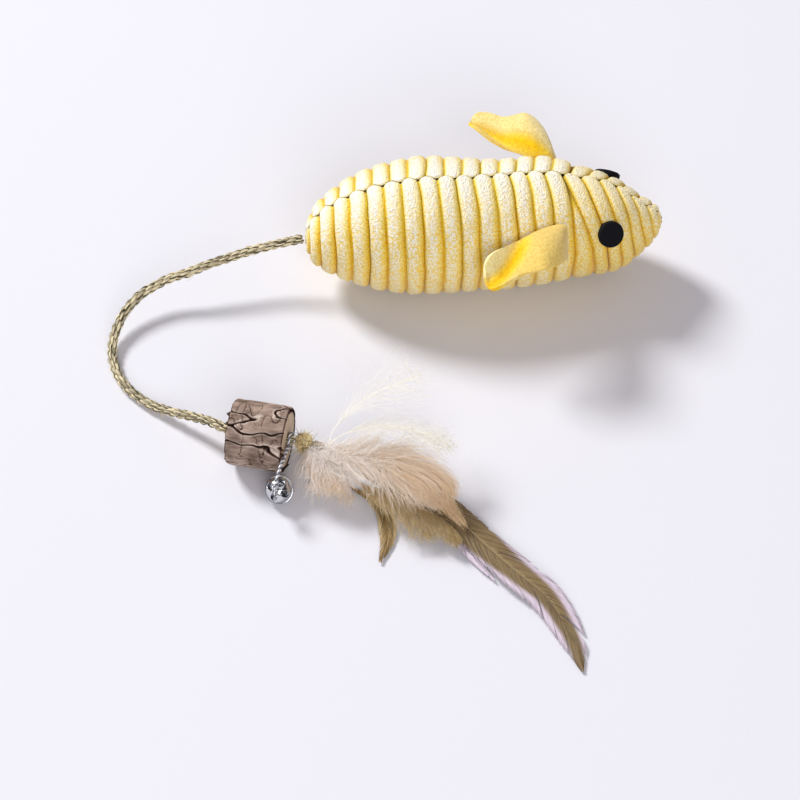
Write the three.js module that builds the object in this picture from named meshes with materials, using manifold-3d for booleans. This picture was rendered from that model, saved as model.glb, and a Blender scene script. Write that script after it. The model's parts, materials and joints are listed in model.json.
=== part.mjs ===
// A plush mouse for cats: a stuffed corduroy body with felt ears and disc eyes, and a rope tail
// that carries a bored slice of branch, a jingle bell on a silver cord and a bunch of feathers.
// Millimetres, +X to the nose, +Y to the mouse's left, +Z up, standing on z = 0.
import * as THREE from 'three';
import { mergeVertices } from 'three/addons/utils/BufferGeometryUtils.js';
import Module from 'manifold-3d';

const wasm = await Module();
wasm.setup();

// Clearances
const clearance = 0.3;
const overrun = 2;

// Body: two corduroy half shells over one stuffing
const bodyLength = 112;
const bodyDiameter = 43;
const clothThickness = 2.3;
const seamGap = 0.3;
const bodyColumns = 24;
const liningColumns = 16;
const liningRings = 18;

// Corduroy: wide wales that run round the body, set back by part of a wale on the left half
const walePitch = 5.6;
const waleDepth = 1.1;
const waleShares = [1, 0.14, 0, 0.14];
const leftWaleShare = 0.4;
const dartGape = 6.6;
const dartTopShare = 0.08;

// Outline of the body as [share of the length from the tail end, share of the radius]
const outlineShares = [
  [0, 0], [0.005, 0.2], [0.031, 0.45], [0.1, 0.693], [0.19, 0.884], [0.32, 1], [0.49, 0.958],
  [0.64, 0.893], [0.765, 0.786], [0.83, 0.738], [0.885, 0.65], [0.956, 0.42], [0.99, 0.2], [1, 0],
];
// Height of the body's axis as [share of the length, share of the radius]
const axisShares = [
  [0, 0.79], [0.05, 0.87], [0.12, 0.93], [0.22, 0.965], [0.34, 0.977], [0.45, 0.96], [0.55, 0.925],
  [0.66, 0.91], [0.8, 0.895], [0.88, 0.84], [0.95, 0.85], [1, 0.905],
];

// Eyes: glued black discs
const eyeDiameter = 8.2;
const eyeRim = 0.6;
const eyeCrown = 0.5;
const eyeAlongShares = { left: 0.853, right: 0.838 };
const eyeAngle = THREE.MathUtils.degToRad(56.5);
const eyeTilt = THREE.MathUtils.degToRad(15);
const eyeSides = 28;

// Ears: one felt leaf each, sewn to the dart seam and rolled towards its tip
const earLength = 26.4;
const feltThickness = 1.1;
const earAlongShare = 0.713;
const earRootAngles = { inner: THREE.MathUtils.degToRad(47), outer: THREE.MathUtils.degToRad(82) };
const earColumns = 9;
// Sections from root to tip, all as shares of the ear's length: place along, then across and up for
// the leaf's inner and outer edge from that edge's root, then the arch's rise (below zero it is hollow)
const earSectionShares = [
  { along: 0, inner: [0, 0], outer: [0, 0], arch: 0.03 },
  { along: 0.035, inner: [0, 0], outer: [0.19, 0.2], arch: 0.06 },
  { along: 0.1, inner: [0.01, 0], outer: [0.385, 0.345], arch: 0.075 },
  { along: 0.21, inner: [0.045, 0], outer: [0.495, 0.415], arch: 0.085 },
  { along: 0.33, inner: [0.1, 0.005], outer: [0.545, 0.45], arch: 0.08 },
  { along: 0.45, inner: [0.17, 0.01], outer: [0.585, 0.435], arch: 0.05 },
  { along: 0.59, inner: [0.25, 0.015], outer: [0.64, 0.41], arch: -0.04 },
  { along: 0.74, inner: [0.35, 0.04], outer: [0.7, 0.385], arch: -0.11 },
  { along: 0.88, inner: [0.46, 0.09], outer: [0.735, 0.35], arch: -0.12 },
  { along: 0.96, inner: [0.53, 0.115], outer: [0.7, 0.3], arch: -0.1 },
  { along: 1, inner: [0.57, 0.09], outer: [0.63, 0.33], arch: -0.05 },
];

// Rope tail: its free stretch follows these points, in millimetres from the tail's exit along X and Y
// and above the floor along Z
const ropeDiameter = 3.2;
const ropeSides = 8;
const ropeSteps = 30;
const ropeStart = 0.9;
const ropeLead = 4.5;
const ropeRoute = [
  [-11, -0.2, 14.8], [-18, -1, 13.4], [-24.5, -2.6, 12.4], [-31, -4.2, 11.4], [-37, -6, 10.2],
  [-42.3, -7, 9.2], [-47, -8.7, 8], [-51.2, -11.1, 7.1], [-54.6, -14.2, 6.1], [-57.3, -17.7, 5.1],
  [-59.2, -21.8, 4], [-60.4, -25.8, 3.1], [-60.9, -30, 2.4], [-60.5, -34.2, 2], [-59.3, -38.8, 1.8],
  [-57, -43.6, 1.8], [-53.3, -48.4, 1.8], [-48.6, -52.6, 2.1], [-43, -56.6, 3.4], [-37, -60.6, 5.8],
  [-31, -65, 8.2],
];
const anchorDiameter = 7;
const anchorDepth = 6;

// Branch bead: a bored slice of wood with its bark, threaded on the rope
const beadDiameter = 20;
const beadLength = 17;
const barkThickness = 1.3;
const beadBore = 4.6;
const beadChamfer = 1.2;
const beadEntry = [-23.9, -70.6];
const beadYaw = THREE.MathUtils.degToRad(-15);
const beadSides = 24;
const barkWaveShare = 0.022;

// Knot at the rope's end, and the thread that whips the quills to it
const knotDiameter = 5.8;
const knotWrap = 2.1;
const tuftLength = 3;
const tuftStrands = 5;
const tuftWire = 0.8;
const tuftSpread = THREE.MathUtils.degToRad(42);
const tuftRise = THREE.MathUtils.degToRad(22);
const collarDiameter = 3.4;
const collarLength = 3;

// Jingle bell on a twisted silver cord
const bellDiameter = 8.2;
const bellWall = 0.45;
const bellBand = 0.2;
const bellBandHeight = 0.9;
const bellSides = 28;
const bellWindows = 4;
const windowInner = 1.2;
const windowOuter = 3.5;
const windowWidth = 2.4;
const bellReach = 14.2;
const bellAhead = 0.6;
const bellTilt = THREE.MathUtils.degToRad(41);
const bellTurn = THREE.MathUtils.degToRad(12);
const shankDiameter = 3;
const shankWire = 0.7;
const shankHead = 0.5;
const cordWire = 0.9;
const cordRise = 1.6;
const pelletDiameter = 2.6;

// Feathers: all lie in the frame of the bunch, X along it and Z up from the floor
const bunchYaw = THREE.MathUtils.degToRad(-25);
const quillDiameter = 0.8;
const vaneThickness = 0.7;
const quillLead = 2;
const downLead = 0.9;

// Root shares: place across and height of the root from the middle of the whipping, of its diameter.
// Path shares: along and across are of the feather's reach, and height is of the knot's height.
// Width shares go from root to tip, evenly spaced, and are of the feather's width.
const longFeather = {
  reach: 101.4,
  width: 10.8,
  rootShares: [0.353, -0.4],
  pathShares: [
    [0.09, 0.016, 0.7], [0.14, 0.022, 0.45], [0.243, 0.03, 0.4], [0.345, 0.019, 0.39], [0.436, -0.012, 0.38],
    [0.514, -0.054, 0.36], [0.625, -0.112, 0.33], [0.736, -0.163, 0.29], [0.824, -0.202, 0.24],
    [0.891, -0.257, 0.19], [0.95, -0.318, 0.14], [1, -0.392, 0.09],
  ],
  widthShares: [0.08, 0.08, 0.1, 0.3, 0.66, 0.82, 0.9, 0.96, 1, 0.98, 0.84, 0.62, 0.1],
};
const secondFeather = {
  reach: 69,
  width: 5,
  rootShares: [0, -0.4],
  pathShares: [
    [0.15, 0.01, 0.55], [0.23, 0.012, 0.3], [0.376, -0.002, 0.26], [0.53, -0.033, 0.25], [0.652, -0.06, 0.23],
    [0.734, -0.1, 0.21], [0.814, -0.172, 0.18], [0.888, -0.23, 0.15], [0.991, -0.293, 0.1],
  ],
  widthShares: [0.16, 0.16, 0.2, 0.5, 0.9, 1, 1, 1, 1, 0.86, 0.5, 0.16],
};
const hackle = {
  reach: 35,
  width: 5.4,
  rootShares: [-0.353, -0.4],
  pathShares: [
    [0.3, -0.07, 0.34], [0.46, -0.11, 0.13], [0.68, -0.16, 0.11], [0.81, -0.23, 0.11],
    [0.9, -0.35, 0.11], [0.97, -0.52, 0.1], [0.995, -0.74, 0.09],
  ],
  widthShares: [0.15, 0.15, 0.15, 0.18, 0.4, 0.85, 1, 0.95, 0.6, 0.12],
};

// Down plumes: closed outer forms of soft barbs. Widths and depths are shares of the plume's own
const plumeColumns = 12;
const pinkPlume = {
  reach: 49.5,
  width: 24,
  depth: 13,
  rootShares: [0.088, -0.03],
  pathShares: [
    [0.175, 0.004, 1.08], [0.25, -0.002, 1.15], [0.36, -0.008, 1.18], [0.525, 0.02, 1.18],
    [0.65, 0.014, 1.18], [0.775, 0.004, 1.12], [0.87, -0.014, 1.02], [1, -0.065, 0.86],
  ],
  widthShares: [0.03, 0.28, 0.7, 0.9, 0.97, 1, 0.96, 0.82, 0.3],
  depthShares: [0.055, 0.26, 0.66, 0.9, 1, 1, 0.98, 0.85, 0.4],
};
const whiteTuft = {
  reach: 15,
  width: 10.6,
  depth: 7.4,
  rootShares: [-0.294, 0.03],
  pathShares: [
    [0.53, -0.2, 1.02], [0.59, -0.38, 0.98], [0.63, -0.54, 0.87], [0.67, -0.72, 0.7], [0.69, -0.9, 0.5],
  ],
  widthShares: [0.06, 0.1, 0.5, 0.86, 1, 0.95, 0.42],
  depthShares: [0.09, 0.14, 0.55, 0.85, 1, 0.9, 0.45],
};
const olivePlume = {
  reach: 46,
  width: 12.6,
  depth: 2.2,
  rootShares: [-0.13, -0.14],
  pathShares: [
    [0.228, -0.024, 0.85], [0.34, -0.07, 0.62], [0.52, -0.135, 0.48], [0.7, -0.185, 0.46], [0.85, -0.245, 0.46],
    [0.95, -0.295, 0.42], [1.02, -0.36, 0.34],
  ],
  widthShares: [0.03, 0.04, 0.1, 0.22, 0.44, 0.76, 1, 0.95, 0.45],
  depthShares: [0.18, 0.24, 0.5, 0.7, 0.8, 0.9, 1, 1, 0.6],
};
const creamPlume = {
  reach: 45,
  width: 12,
  depth: 1.6,
  rootShares: [0.353, 0.147],
  pathShares: [
    [0.2, 0.06, 1.3], [0.29, 0.12, 1.84], [0.472, 0.21, 2.12], [0.66, 0.27, 2.12], [0.86, 0.29, 1.84],
    [0.98, 0.28, 1.46],
  ],
  widthShares: [0.055, 0.1, 0.5, 0.8, 1, 1, 0.8, 0.25],
  depthShares: [0.4, 0.5, 0.9, 1, 1, 1, 0.9, 0.5],
};
const creamFan = {
  reach: 42,
  width: 14,
  depth: 1.6,
  rootShares: [0.088, 0.324],
  pathShares: [
    [0.2, 0.07, 1.62], [0.29, 0.2, 2.16], [0.41, 0.36, 2.4], [0.565, 0.51, 2.5], [0.69, 0.66, 2.5],
  ],
  widthShares: [0.05, 0.08, 0.4, 0.8, 1, 0.95, 0.35],
  depthShares: [0.4, 0.5, 0.9, 1, 1, 0.9, 0.5],
};

// Finishes
function finish(color, roughness, metalness = 0) {
  return new THREE.MeshStandardMaterial({ color, roughness, metalness });
}
const corduroy = finish(0xf0d070, 0.95);
const fill = finish(0xf4f1ea, 1);
const felt = finish(0xffdf3e, 0.95);
const eyeBlack = finish(0x101014, 0.6);
const hemp = finish(0x9a8a5c, 0.9);
const bark = finish(0x6d5441, 0.95);
const wood = finish(0xcdb08c, 0.8);
const silver = finish(0xd9dade, 0.15, 1);
const tinsel = finish(0xc6c8d0, 0.35, 0.8);
const thread = finish(0x8d8272, 0.9);
const oliveFeather = finish(0x8d7a48, 0.75);
const pinkDown = finish(0xdcc0a8, 1);
const creamDown = finish(0xf6f2e2, 1);
const oliveDown = finish(0x9c8458, 1);

// A closed mesh with shared corners, no collapsed faces and its faces pointing out
function closedGeometry(positions, faces) {
  const raw = new THREE.BufferGeometry();
  raw.setAttribute('position', new THREE.Float32BufferAttribute(positions, 3));
  raw.setIndex(faces);
  const merged = mergeVertices(raw, 1e-4);
  const point = merged.getAttribute('position');
  const corner = [new THREE.Vector3(), new THREE.Vector3(), new THREE.Vector3()];
  const kept = [];
  let volume = 0;
  for (let i = 0; i < merged.index.count; i += 3) {
    const face = [0, 1, 2].map((k) => merged.index.getX(i + k));
    if (new Set(face).size < face.length) continue;
    face.forEach((v, k) => corner[k].fromBufferAttribute(point, v));
    volume += corner[0].dot(corner[1].cross(corner[2]));
    kept.push(face);
  }
  if (volume < 0) kept.forEach((face) => face.reverse());
  merged.setIndex(kept.flat());
  return merged;
}

function closed(geometry) {
  const flat = geometry.index ? geometry.toNonIndexed() : geometry;
  const position = flat.getAttribute('position');
  return closedGeometry(Array.from(position.array), Array.from({ length: position.count }, (_, i) => i));
}

function solidOf(geometry) {
  const mesh = closed(geometry);
  return new wasm.Manifold(new wasm.Mesh({
    numProp: 3,
    vertProperties: new Float32Array(mesh.getAttribute('position').array),
    triVerts: new Uint32Array(mesh.index.array),
  }));
}

function geometryOf(solid) {
  const mesh = solid.getMesh();
  const geometry = new THREE.BufferGeometry();
  geometry.setAttribute('position', new THREE.BufferAttribute(new Float32Array(mesh.vertProperties), 3));
  geometry.setIndex(new THREE.BufferAttribute(new Uint32Array(mesh.triVerts), 1));
  return geometry;
}

function joined(geometries) {
  return geometryOf(geometries.map(solidOf).reduce((sum, next) => sum.add(next)));
}

// Skin over closed rings of equally many points, with a fan or a strip of faces over each end
function loft(rings, cap = 'fan') {
  const columns = rings[0].length;
  const positions = rings.flat().flatMap((p) => [p.x, p.y, p.z]);
  const faces = [];
  for (let r = 0; r + 1 < rings.length; r += 1) {
    for (let c = 0; c < columns; c += 1) {
      const a = r * columns + c;
      const b = r * columns + ((c + 1) % columns);
      faces.push(a, b, a + columns, b, b + columns, a + columns);
    }
  }
  [0, rings.length - 1].forEach((r) => {
    const start = r * columns;
    const flip = r === 0;
    const add = (a, b, c) => (flip ? faces.push(a, c, b) : faces.push(a, b, c));
    if (cap === 'strip') {
      for (let c = 0; c + 1 < columns / 2; c += 1) {
        const d = columns - 1 - c;
        add(start + c, start + c + 1, start + d);
        add(start + c + 1, start + d - 1, start + d);
      }
      return;
    }
    const middle = rings[r].reduce((sum, p) => sum.add(p), new THREE.Vector3()).divideScalar(columns);
    const hub = positions.length / 3;
    positions.push(middle.x, middle.y, middle.z);
    for (let c = 0; c < columns; c += 1) add(start + c, start + ((c + 1) % columns), hub);
  });
  return closedGeometry(positions, faces);
}

function tube(curve, radius, steps, sides = ropeSides) {
  const section = new THREE.Shape();
  for (let i = 0; i < sides; i += 1) {
    const angle = (i / sides) * Math.PI * 2;
    const place = [radius * Math.cos(angle), radius * Math.sin(angle)];
    if (i === 0) section.moveTo(...place);
    else section.lineTo(...place);
  }
  return new THREE.ExtrudeGeometry(section, { extrudePath: curve, steps, curveSegments: 1 });
}

function boxBetween(low, high) {
  const size = high.map((value, i) => value - low[i]);
  const box = new THREE.BoxGeometry(...size);
  return box.translate(...low.map((value, i) => value + size[i] / 2));
}

// Value of a table of [place, value] rows, straight between its rows
function tableAt(rows, place) {
  const next = rows.findIndex(([at]) => at >= place);
  if (next <= 0) return rows[next < 0 ? rows.length - 1 : 0][1];
  const [low, high] = [rows[next - 1], rows[next]];
  return low[1] + ((high[1] - low[1]) * (place - low[0])) / (high[0] - low[0]);
}

function evenTable(values, share) {
  return tableAt(values.map((value, i) => [i / (values.length - 1), value]), share);
}

// Body surface
const bodyRadius = bodyDiameter / 2;
const tailEnd = -bodyLength / 2;
const noseEnd = bodyLength / 2;
const meridian = new THREE.CatmullRomCurve3(
  outlineShares.map(([along, out]) => new THREE.Vector3(tailEnd + along * bodyLength, out * bodyRadius, 0)),
  false,
  'centripetal',
);
const meridianLength = meridian.getLength();
const waleCount = Math.round(meridianLength / walePitch);

function axisHeight(x) {
  return bodyRadius * tableAt(axisShares, (x - tailEnd) / bodyLength);
}

// Share of the meridian's length at which it passes a place along X
function meridianShare(x) {
  let [low, high] = [0, 1];
  for (let i = 0; i < 30; i += 1) {
    const middle = (low + high) / 2;
    if (meridian.getPointAt(middle).x < x) low = middle;
    else high = middle;
  }
  return low;
}

// Point of the surface that lies an inset under the wales' crests. The angle is from the top to +Y
function bodyPoint(share, angle, inset) {
  const place = meridian.getPointAt(share);
  const along = meridian.getTangentAt(share);
  const x = place.x + along.y * inset;
  const radius = place.y - along.x * inset;
  const [side, up] = [radius * Math.sin(angle), radius * Math.cos(angle)];
  return { x, radius, point: new THREE.Vector3(x, side, axisHeight(x) + up) };
}

function smoothBody(inset, columns, ringCount) {
  const rings = [];
  for (let r = 0; r <= ringCount; r += 1) {
    const ring = [];
    let least = Infinity;
    for (let c = 0; c < columns; c += 1) {
      const share = Math.min(Math.max(r / ringCount, 1e-3), 1 - 1e-3);
      const { point, radius } = bodyPoint(share, (c / columns) * Math.PI * 2, inset);
      least = Math.min(least, radius);
      ring.push(point);
    }
    if (least > clearance) rings.push(ring);
  }
  return loft(rings);
}

const dartShare = meridianShare(tailEnd + earAlongShare * bodyLength);

// Rings of the corduroy: four to each wale, and one more wale that opens downwards from the dart
function waleRings(phase) {
  const dartWale = Math.round(dartShare * waleCount - phase);
  const dartAt = (dartWale + phase) / waleCount;
  const rings = [];
  for (let wale = -1; wale < waleCount; wale += 1) {
    waleShares.forEach((depth, step) => {
      const share = (wale + phase + step / waleShares.length) / waleCount;
      if (share < 1 / meridianLength || share > 1 - 1 / meridianLength) return;
      if (wale === dartWale && step === 0) {
        waleShares.forEach((wedgeDepth, wedgeStep) => {
          const open = wedgeStep / waleShares.length;
          rings.push({ share: dartAt, open, depth: wedgeDepth, wedge: wedgeStep > 0 });
        });
      }
      const open = share < dartAt ? 0 : (1 - share) / (1 - dartAt);
      rings.push({ share, open, depth, wedge: false });
    });
  }
  return rings;
}

function ribbedBody(phase) {
  const rings = waleRings(phase).map(({ share, open, depth, wedge }) => {
    const ring = [];
    for (let c = 0; c < bodyColumns; c += 1) {
      const angle = (c / bodyColumns) * Math.PI * 2;
      const lower = (1 - Math.cos(angle)) / 2;
      const shift = (open * dartGape * (dartTopShare + (1 - dartTopShare) * lower)) / meridianLength;
      const groove = wedge ? 1 - (1 - depth) * lower : depth;
      const room = Math.min(1, bodyPoint(share, 0, 0).radius / (waleDepth * waleShares.length));
      ring.push(bodyPoint(share + shift, angle, waleDepth * groove * room).point);
    }
    return ring;
  });
  return loft(rings);
}

// Tail exit, and the frames that the bead and the bunch of feathers lie in
const ropeRadius = ropeDiameter / 2;
const exit = new THREE.Vector3(tailEnd, 0, axisHeight(tailEnd));
const beadRadius = beadDiameter / 2;
const beadFrame = new THREE.Group();
beadFrame.position.set(exit.x + beadEntry[0], exit.y + beadEntry[1], beadRadius);
beadFrame.rotation.z = beadYaw;
beadFrame.updateMatrixWorld(true);

// Places along the rope past the bead, each a clearance from the last
const loopAt = beadLength + clearance + cordWire / 2;
const ropeEndAt = loopAt + cordWire / 2 + clearance;
const knotAt = ropeEndAt + clearance + knotDiameter / 2;
const knotHeight = beadRadius;

const bunchFrame = new THREE.Group();
bunchFrame.position.copy(beadFrame.localToWorld(new THREE.Vector3(knotAt, 0, 0)));
bunchFrame.position.z = 0;
bunchFrame.rotation.z = bunchYaw;
bunchFrame.updateMatrixWorld(true);

const mouse = new THREE.Group();
mouse.add(beadFrame, bunchFrame);

function piece(name, geometry, material, frame = mouse) {
  const mesh = new THREE.Mesh(closed(geometry), material);
  mesh.name = name;
  frame.add(mesh);
  return mesh;
}

// Overhand knot as three wraps of rope round a core
function knotForm(diameter, wrap, turn) {
  const wrapRadius = wrap / 2;
  const ringRadius = diameter / 2 - wrapRadius;
  const wraps = [0, 1, 2].map((i) => {
    const ring = new THREE.TorusGeometry(ringRadius, wrapRadius, ropeSides, ropeSides * 2);
    return ring.rotateX(turn).rotateZ((i * Math.PI) / 3 + turn);
  });
  const core = new THREE.IcosahedronGeometry(ringRadius, 1);
  return joined([core, ...wraps]);
}

function cylinderAlongX(radius, from, to, sides) {
  const rod = new THREE.CylinderGeometry(radius, radius, to - from, sides);
  return rod.rotateZ(Math.PI / 2).translate((from + to) / 2, 0, 0);
}

// Corduroy shells, lining and stuffing
const boreRadius = ropeRadius + clearance;
const anchorAt = tailEnd + anchorDepth + anchorDiameter / 2;
const tailBore = cylinderAlongX(boreRadius, tailEnd - overrun, anchorAt, ropeSides * 2)
  .translate(0, exit.y, exit.z);
const lining = smoothBody(clothThickness, liningColumns, liningRings);

function shell(side, phase) {
  const near = seamGap / 2;
  const reach = bodyRadius + overrun;
  const y = side > 0 ? [near, reach] : [-reach, -near];
  const room = boxBetween([tailEnd - overrun, y[0], 0], [noseEnd + overrun, y[1], bodyDiameter + overrun]);
  const cut = solidOf(ribbedBody(phase)).intersect(solidOf(room));
  return geometryOf(cut.subtract(solidOf(lining)).subtract(solidOf(tailBore)));
}

piece('body_shell_left', shell(1, leftWaleShare), corduroy);
piece('body_shell_right', shell(-1, 0), corduroy);

const pocket = new THREE.IcosahedronGeometry(anchorDiameter / 2 + clearance * 1.5, 2)
  .translate(anchorAt, exit.y, exit.z);
const stuffing = solidOf(smoothBody(clothThickness + clearance * 1.4, liningColumns, liningRings))
  .subtract(solidOf(tailBore))
  .subtract(solidOf(pocket));
piece('stuffing', geometryOf(stuffing), fill);

const anchorStem = cylinderAlongX(ropeRadius, tailEnd, anchorAt, ropeSides);
const anchorKnot = knotForm(anchorDiameter, ropeDiameter * 0.8, 0.5).translate(anchorAt, 0, 0);
piece('tail_anchor_knot', joined([anchorStem, anchorKnot]).translate(0, exit.y, exit.z), hemp);

// Ears and eyes, each cut to the body that it sits on
const seatSurface = solidOf(smoothBody(-clearance * 1.3, bodyColumns, liningRings * 2));

function ear(side) {
  const rootX = tailEnd + earAlongShare * bodyLength;
  const rootRadius = meridian.getPointAt(dartShare).y + clearance;
  const rootEdge = (angle) => {
    const [side, up] = [rootRadius * Math.sin(angle), rootRadius * Math.cos(angle)];
    return [side, axisHeight(rootX) + up];
  };
  const roots = { inner: rootEdge(earRootAngles.inner), outer: rootEdge(earRootAngles.outer) };
  const rings = earSectionShares.map((section) => {
    const [near, far] = ['inner', 'outer'].map((word) => (
      new THREE.Vector2(...roots[word]).addScaledVector(new THREE.Vector2(...section[word]), earLength)
    ));
    const chord = far.clone().sub(near);
    const out = new THREE.Vector2(-chord.y, chord.x).normalize();
    const x = rootX - section.along * earLength;
    const row = (lift, order) => order.map((c) => {
      const share = c / (earColumns - 1);
      const bow = section.arch * earLength * (1 - (2 * share - 1) ** 2) + lift;
      const place = near.clone().addScaledVector(chord, share).addScaledVector(out, bow);
      return new THREE.Vector3(x, side * place.x, place.y);
    });
    const columns = Array.from({ length: earColumns }, (_, c) => c);
    return [...row(feltThickness, columns), ...row(0, [...columns].reverse())];
  });
  return geometryOf(solidOf(loft(rings, 'strip')).subtract(seatSurface));
}

function eye(side, alongShare) {
  const radius = eyeDiameter / 2;
  const depth = bodyRadius / 2;
  const profile = [
    [0, -depth], [radius, -depth], [radius, eyeRim], [radius * 0.85, eyeRim + eyeCrown * 0.6],
    [radius * 0.5, eyeRim + eyeCrown * 0.9], [0, eyeRim + eyeCrown],
  ].map(([out, up]) => new THREE.Vector2(out, up));
  const disc = new THREE.LatheGeometry(profile, eyeSides);
  const x = tailEnd + alongShare * bodyLength;
  const at = meridianShare(x);
  const seat = bodyPoint(at, side * eyeAngle, -clearance).point;
  disc.rotateX(Math.PI / 2).rotateY(eyeTilt).rotateX(-side * eyeAngle);
  disc.translate(seat.x, seat.y, seat.z);
  return geometryOf(solidOf(disc).subtract(seatSurface));
}

for (const [word, side] of [['left', 1], ['right', -1]]) {
  piece(`ear_${word}`, ear(side), felt);
  piece(`eye_${word}`, eye(side, eyeAlongShares[word]), eyeBlack);
}

// Rope tail, from its exit to the knot
const inBead = (x) => beadFrame.localToWorld(new THREE.Vector3(x, 0, 0));
const ropePath = new THREE.CatmullRomCurve3([
  new THREE.Vector3(exit.x - ropeStart, exit.y, exit.z),
  new THREE.Vector3(exit.x - ropeStart - ropeLead, exit.y, exit.z - ropeLead / 5),
  ...ropeRoute.map(([x, y, z]) => new THREE.Vector3(exit.x + x, exit.y + y, z)),
  inBead(0), inBead(beadLength / 2), inBead(beadLength), inBead(ropeEndAt),
], false, 'centripetal');
piece('tail_rope', tube(ropePath, ropeRadius, ropeSteps), hemp);

// Bead
const coreRadius = beadRadius - barkThickness - clearance;

function ringAlongX(inner, outer, from, to, chamfer, sides) {
  const profile = [
    [inner, from], [outer - chamfer, from], [outer, from + chamfer], [outer, to - chamfer],
    [outer - chamfer, to], [inner, to], [inner, from],
  ].map(([out, up]) => new THREE.Vector2(out, up));
  return new THREE.LatheGeometry(profile, sides).rotateZ(-Math.PI / 2);
}

function barkForm() {
  const stations = [[0, beadChamfer], [beadChamfer, 0], [beadLength / 2, 0], [beadLength - beadChamfer, 0],
    [beadLength, beadChamfer]];
  const rings = stations.map(([x, drop]) => {
    const ring = [];
    for (let c = 0; c < beadSides; c += 1) {
      const angle = (c / beadSides) * Math.PI * 2;
      const wave = (Math.cos(angle * 3 + 1 + x / beadLength) + Math.cos(angle * 5 + 2)) / 2;
      const radius = beadRadius * (1 - barkWaveShare * (1 - wave) / 2) - drop;
      ring.push(new THREE.Vector3(x, radius * Math.sin(angle), radius * Math.cos(angle)));
    }
    return ring;
  });
  const bored = cylinderAlongX(coreRadius + clearance, -overrun, beadLength + overrun, beadSides);
  return geometryOf(solidOf(loft(rings)).subtract(solidOf(bored)));
}

piece('bead_wood', ringAlongX(beadBore / 2, coreRadius, 0, beadLength, 0, beadSides), wood, beadFrame);
piece('bead_bark', barkForm(), bark, beadFrame);

// Knot, its frayed tuft, and the whipping round the quills
function tuft() {
  return Array.from({ length: tuftStrands }, (_, i) => {
    const lean = tuftSpread * (i / (tuftStrands - 1));
    const strand = new THREE.CylinderGeometry(tuftWire / 4, tuftWire / 2, tuftLength, 5);
    const foot = knotDiameter / 2 - tuftLength / 3;
    strand.translate(0, foot + tuftLength / 2, 0);
    return strand.rotateX(Math.PI - tuftRise * (1 + lean)).rotateZ(lean);
  });
}

const endKnot = joined([knotForm(knotDiameter, knotWrap, 0.9), ...tuft()]);
piece('end_knot', endKnot.translate(knotAt, 0, 0), hemp, beadFrame);

const collarFrom = knotDiameter / 2 + clearance;
const collarTo = collarFrom + collarLength;
const collar = cylinderAlongX(collarDiameter / 2, collarFrom, collarTo, ropeSides * 2);
piece('quill_whipping', collar.translate(0, 0, knotHeight), thread, bunchFrame);

// Bell: two pressed shells, a wire shank through the crown, a pellet inside
const bellRadius = bellDiameter / 2;
const bellFrame = new THREE.Group();
bellFrame.position.set(beadLength + bellAhead, -bellReach, bellRadius - beadRadius);
bellFrame.rotation.set(bellTilt, 0, bellTurn - beadYaw);
beadFrame.add(bellFrame);

// Half shell of the bell with its raised band. The crown is open as far as the hole's radius
function bellShell(hole) {
  const inner = bellRadius - bellWall;
  const low = clearance / 2;
  const bandTop = low + bellBandHeight;
  const arcSteps = 7;
  const arc = (radius, from, to) => Array.from({ length: arcSteps + 1 }, (_, i) => {
    const angle = from + ((to - from) * i) / arcSteps;
    return new THREE.Vector2(radius * Math.cos(angle), radius * Math.sin(angle));
  });
  const crown = (radius) => (hole > 0 ? Math.acos(hole / radius) : Math.PI / 2);
  const profile = [
    new THREE.Vector2(bellRadius + bellBand, low),
    new THREE.Vector2(bellRadius + bellBand, bandTop),
    ...arc(bellRadius, Math.asin((bandTop + bellBand) / bellRadius), crown(bellRadius)),
    ...arc(inner, crown(inner), Math.asin(low / inner)),
  ];
  if (hole === 0) [arcSteps + 2, arcSteps + 3].forEach((i) => { profile[i].x = 0; });
  profile.push(profile[0].clone());
  return new THREE.LatheGeometry(profile, bellSides).rotateX(Math.PI / 2);
}

function windowCutter(turn) {
  const leaf = new THREE.Shape();
  leaf.moveTo(windowInner, 0);
  leaf.lineTo(windowOuter - windowWidth / 3, windowWidth / 2);
  leaf.lineTo(windowOuter, 0);
  leaf.lineTo(windowOuter - windowWidth / 3, -windowWidth / 2);
  leaf.closePath();
  return new THREE.ExtrudeGeometry(leaf, { depth: bellRadius + overrun, bevelEnabled: false }).rotateZ(turn);
}

const shankWireRadius = shankWire / 2;
const shankHole = shankWireRadius + clearance * 1.5;
let bellCrown = solidOf(bellShell(shankHole));
for (let i = 0; i < bellWindows; i += 1) {
  const cutter = windowCutter(((i + 0.5) / bellWindows) * Math.PI * 2);
  bellCrown = bellCrown.subtract(solidOf(cutter));
}
piece('bell_crown_shell', geometryOf(bellCrown), silver, bellFrame);
piece('bell_bowl_shell', bellShell(0).rotateX(Math.PI), silver, bellFrame);

const shankRing = shankDiameter / 2 - shankWireRadius;
const shankAt = bellRadius + clearance + shankDiameter / 2;
const flangeRadius = shankHole + clearance;
const shankFoot = Math.sqrt((bellRadius - bellWall) ** 2 - flangeRadius ** 2) - clearance - shankHead;
const stemLength = shankAt - shankRing - shankFoot;
const shankStem = new THREE.CylinderGeometry(shankWireRadius, shankWireRadius, stemLength, ropeSides);
const shankFlange = new THREE.CylinderGeometry(flangeRadius, flangeRadius, shankHead, ropeSides);
const shank = joined([
  new THREE.TorusGeometry(shankRing, shankWireRadius, ropeSides, ropeSides * 2).rotateX(Math.PI / 2)
    .translate(0, 0, shankAt),
  shankStem.rotateX(Math.PI / 2).translate(0, 0, (shankAt - shankRing + shankFoot) / 2),
  shankFlange.rotateX(Math.PI / 2).translate(0, 0, shankFoot + shankHead / 2),
]);
piece('bell_shank', shank, silver, bellFrame);

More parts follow.
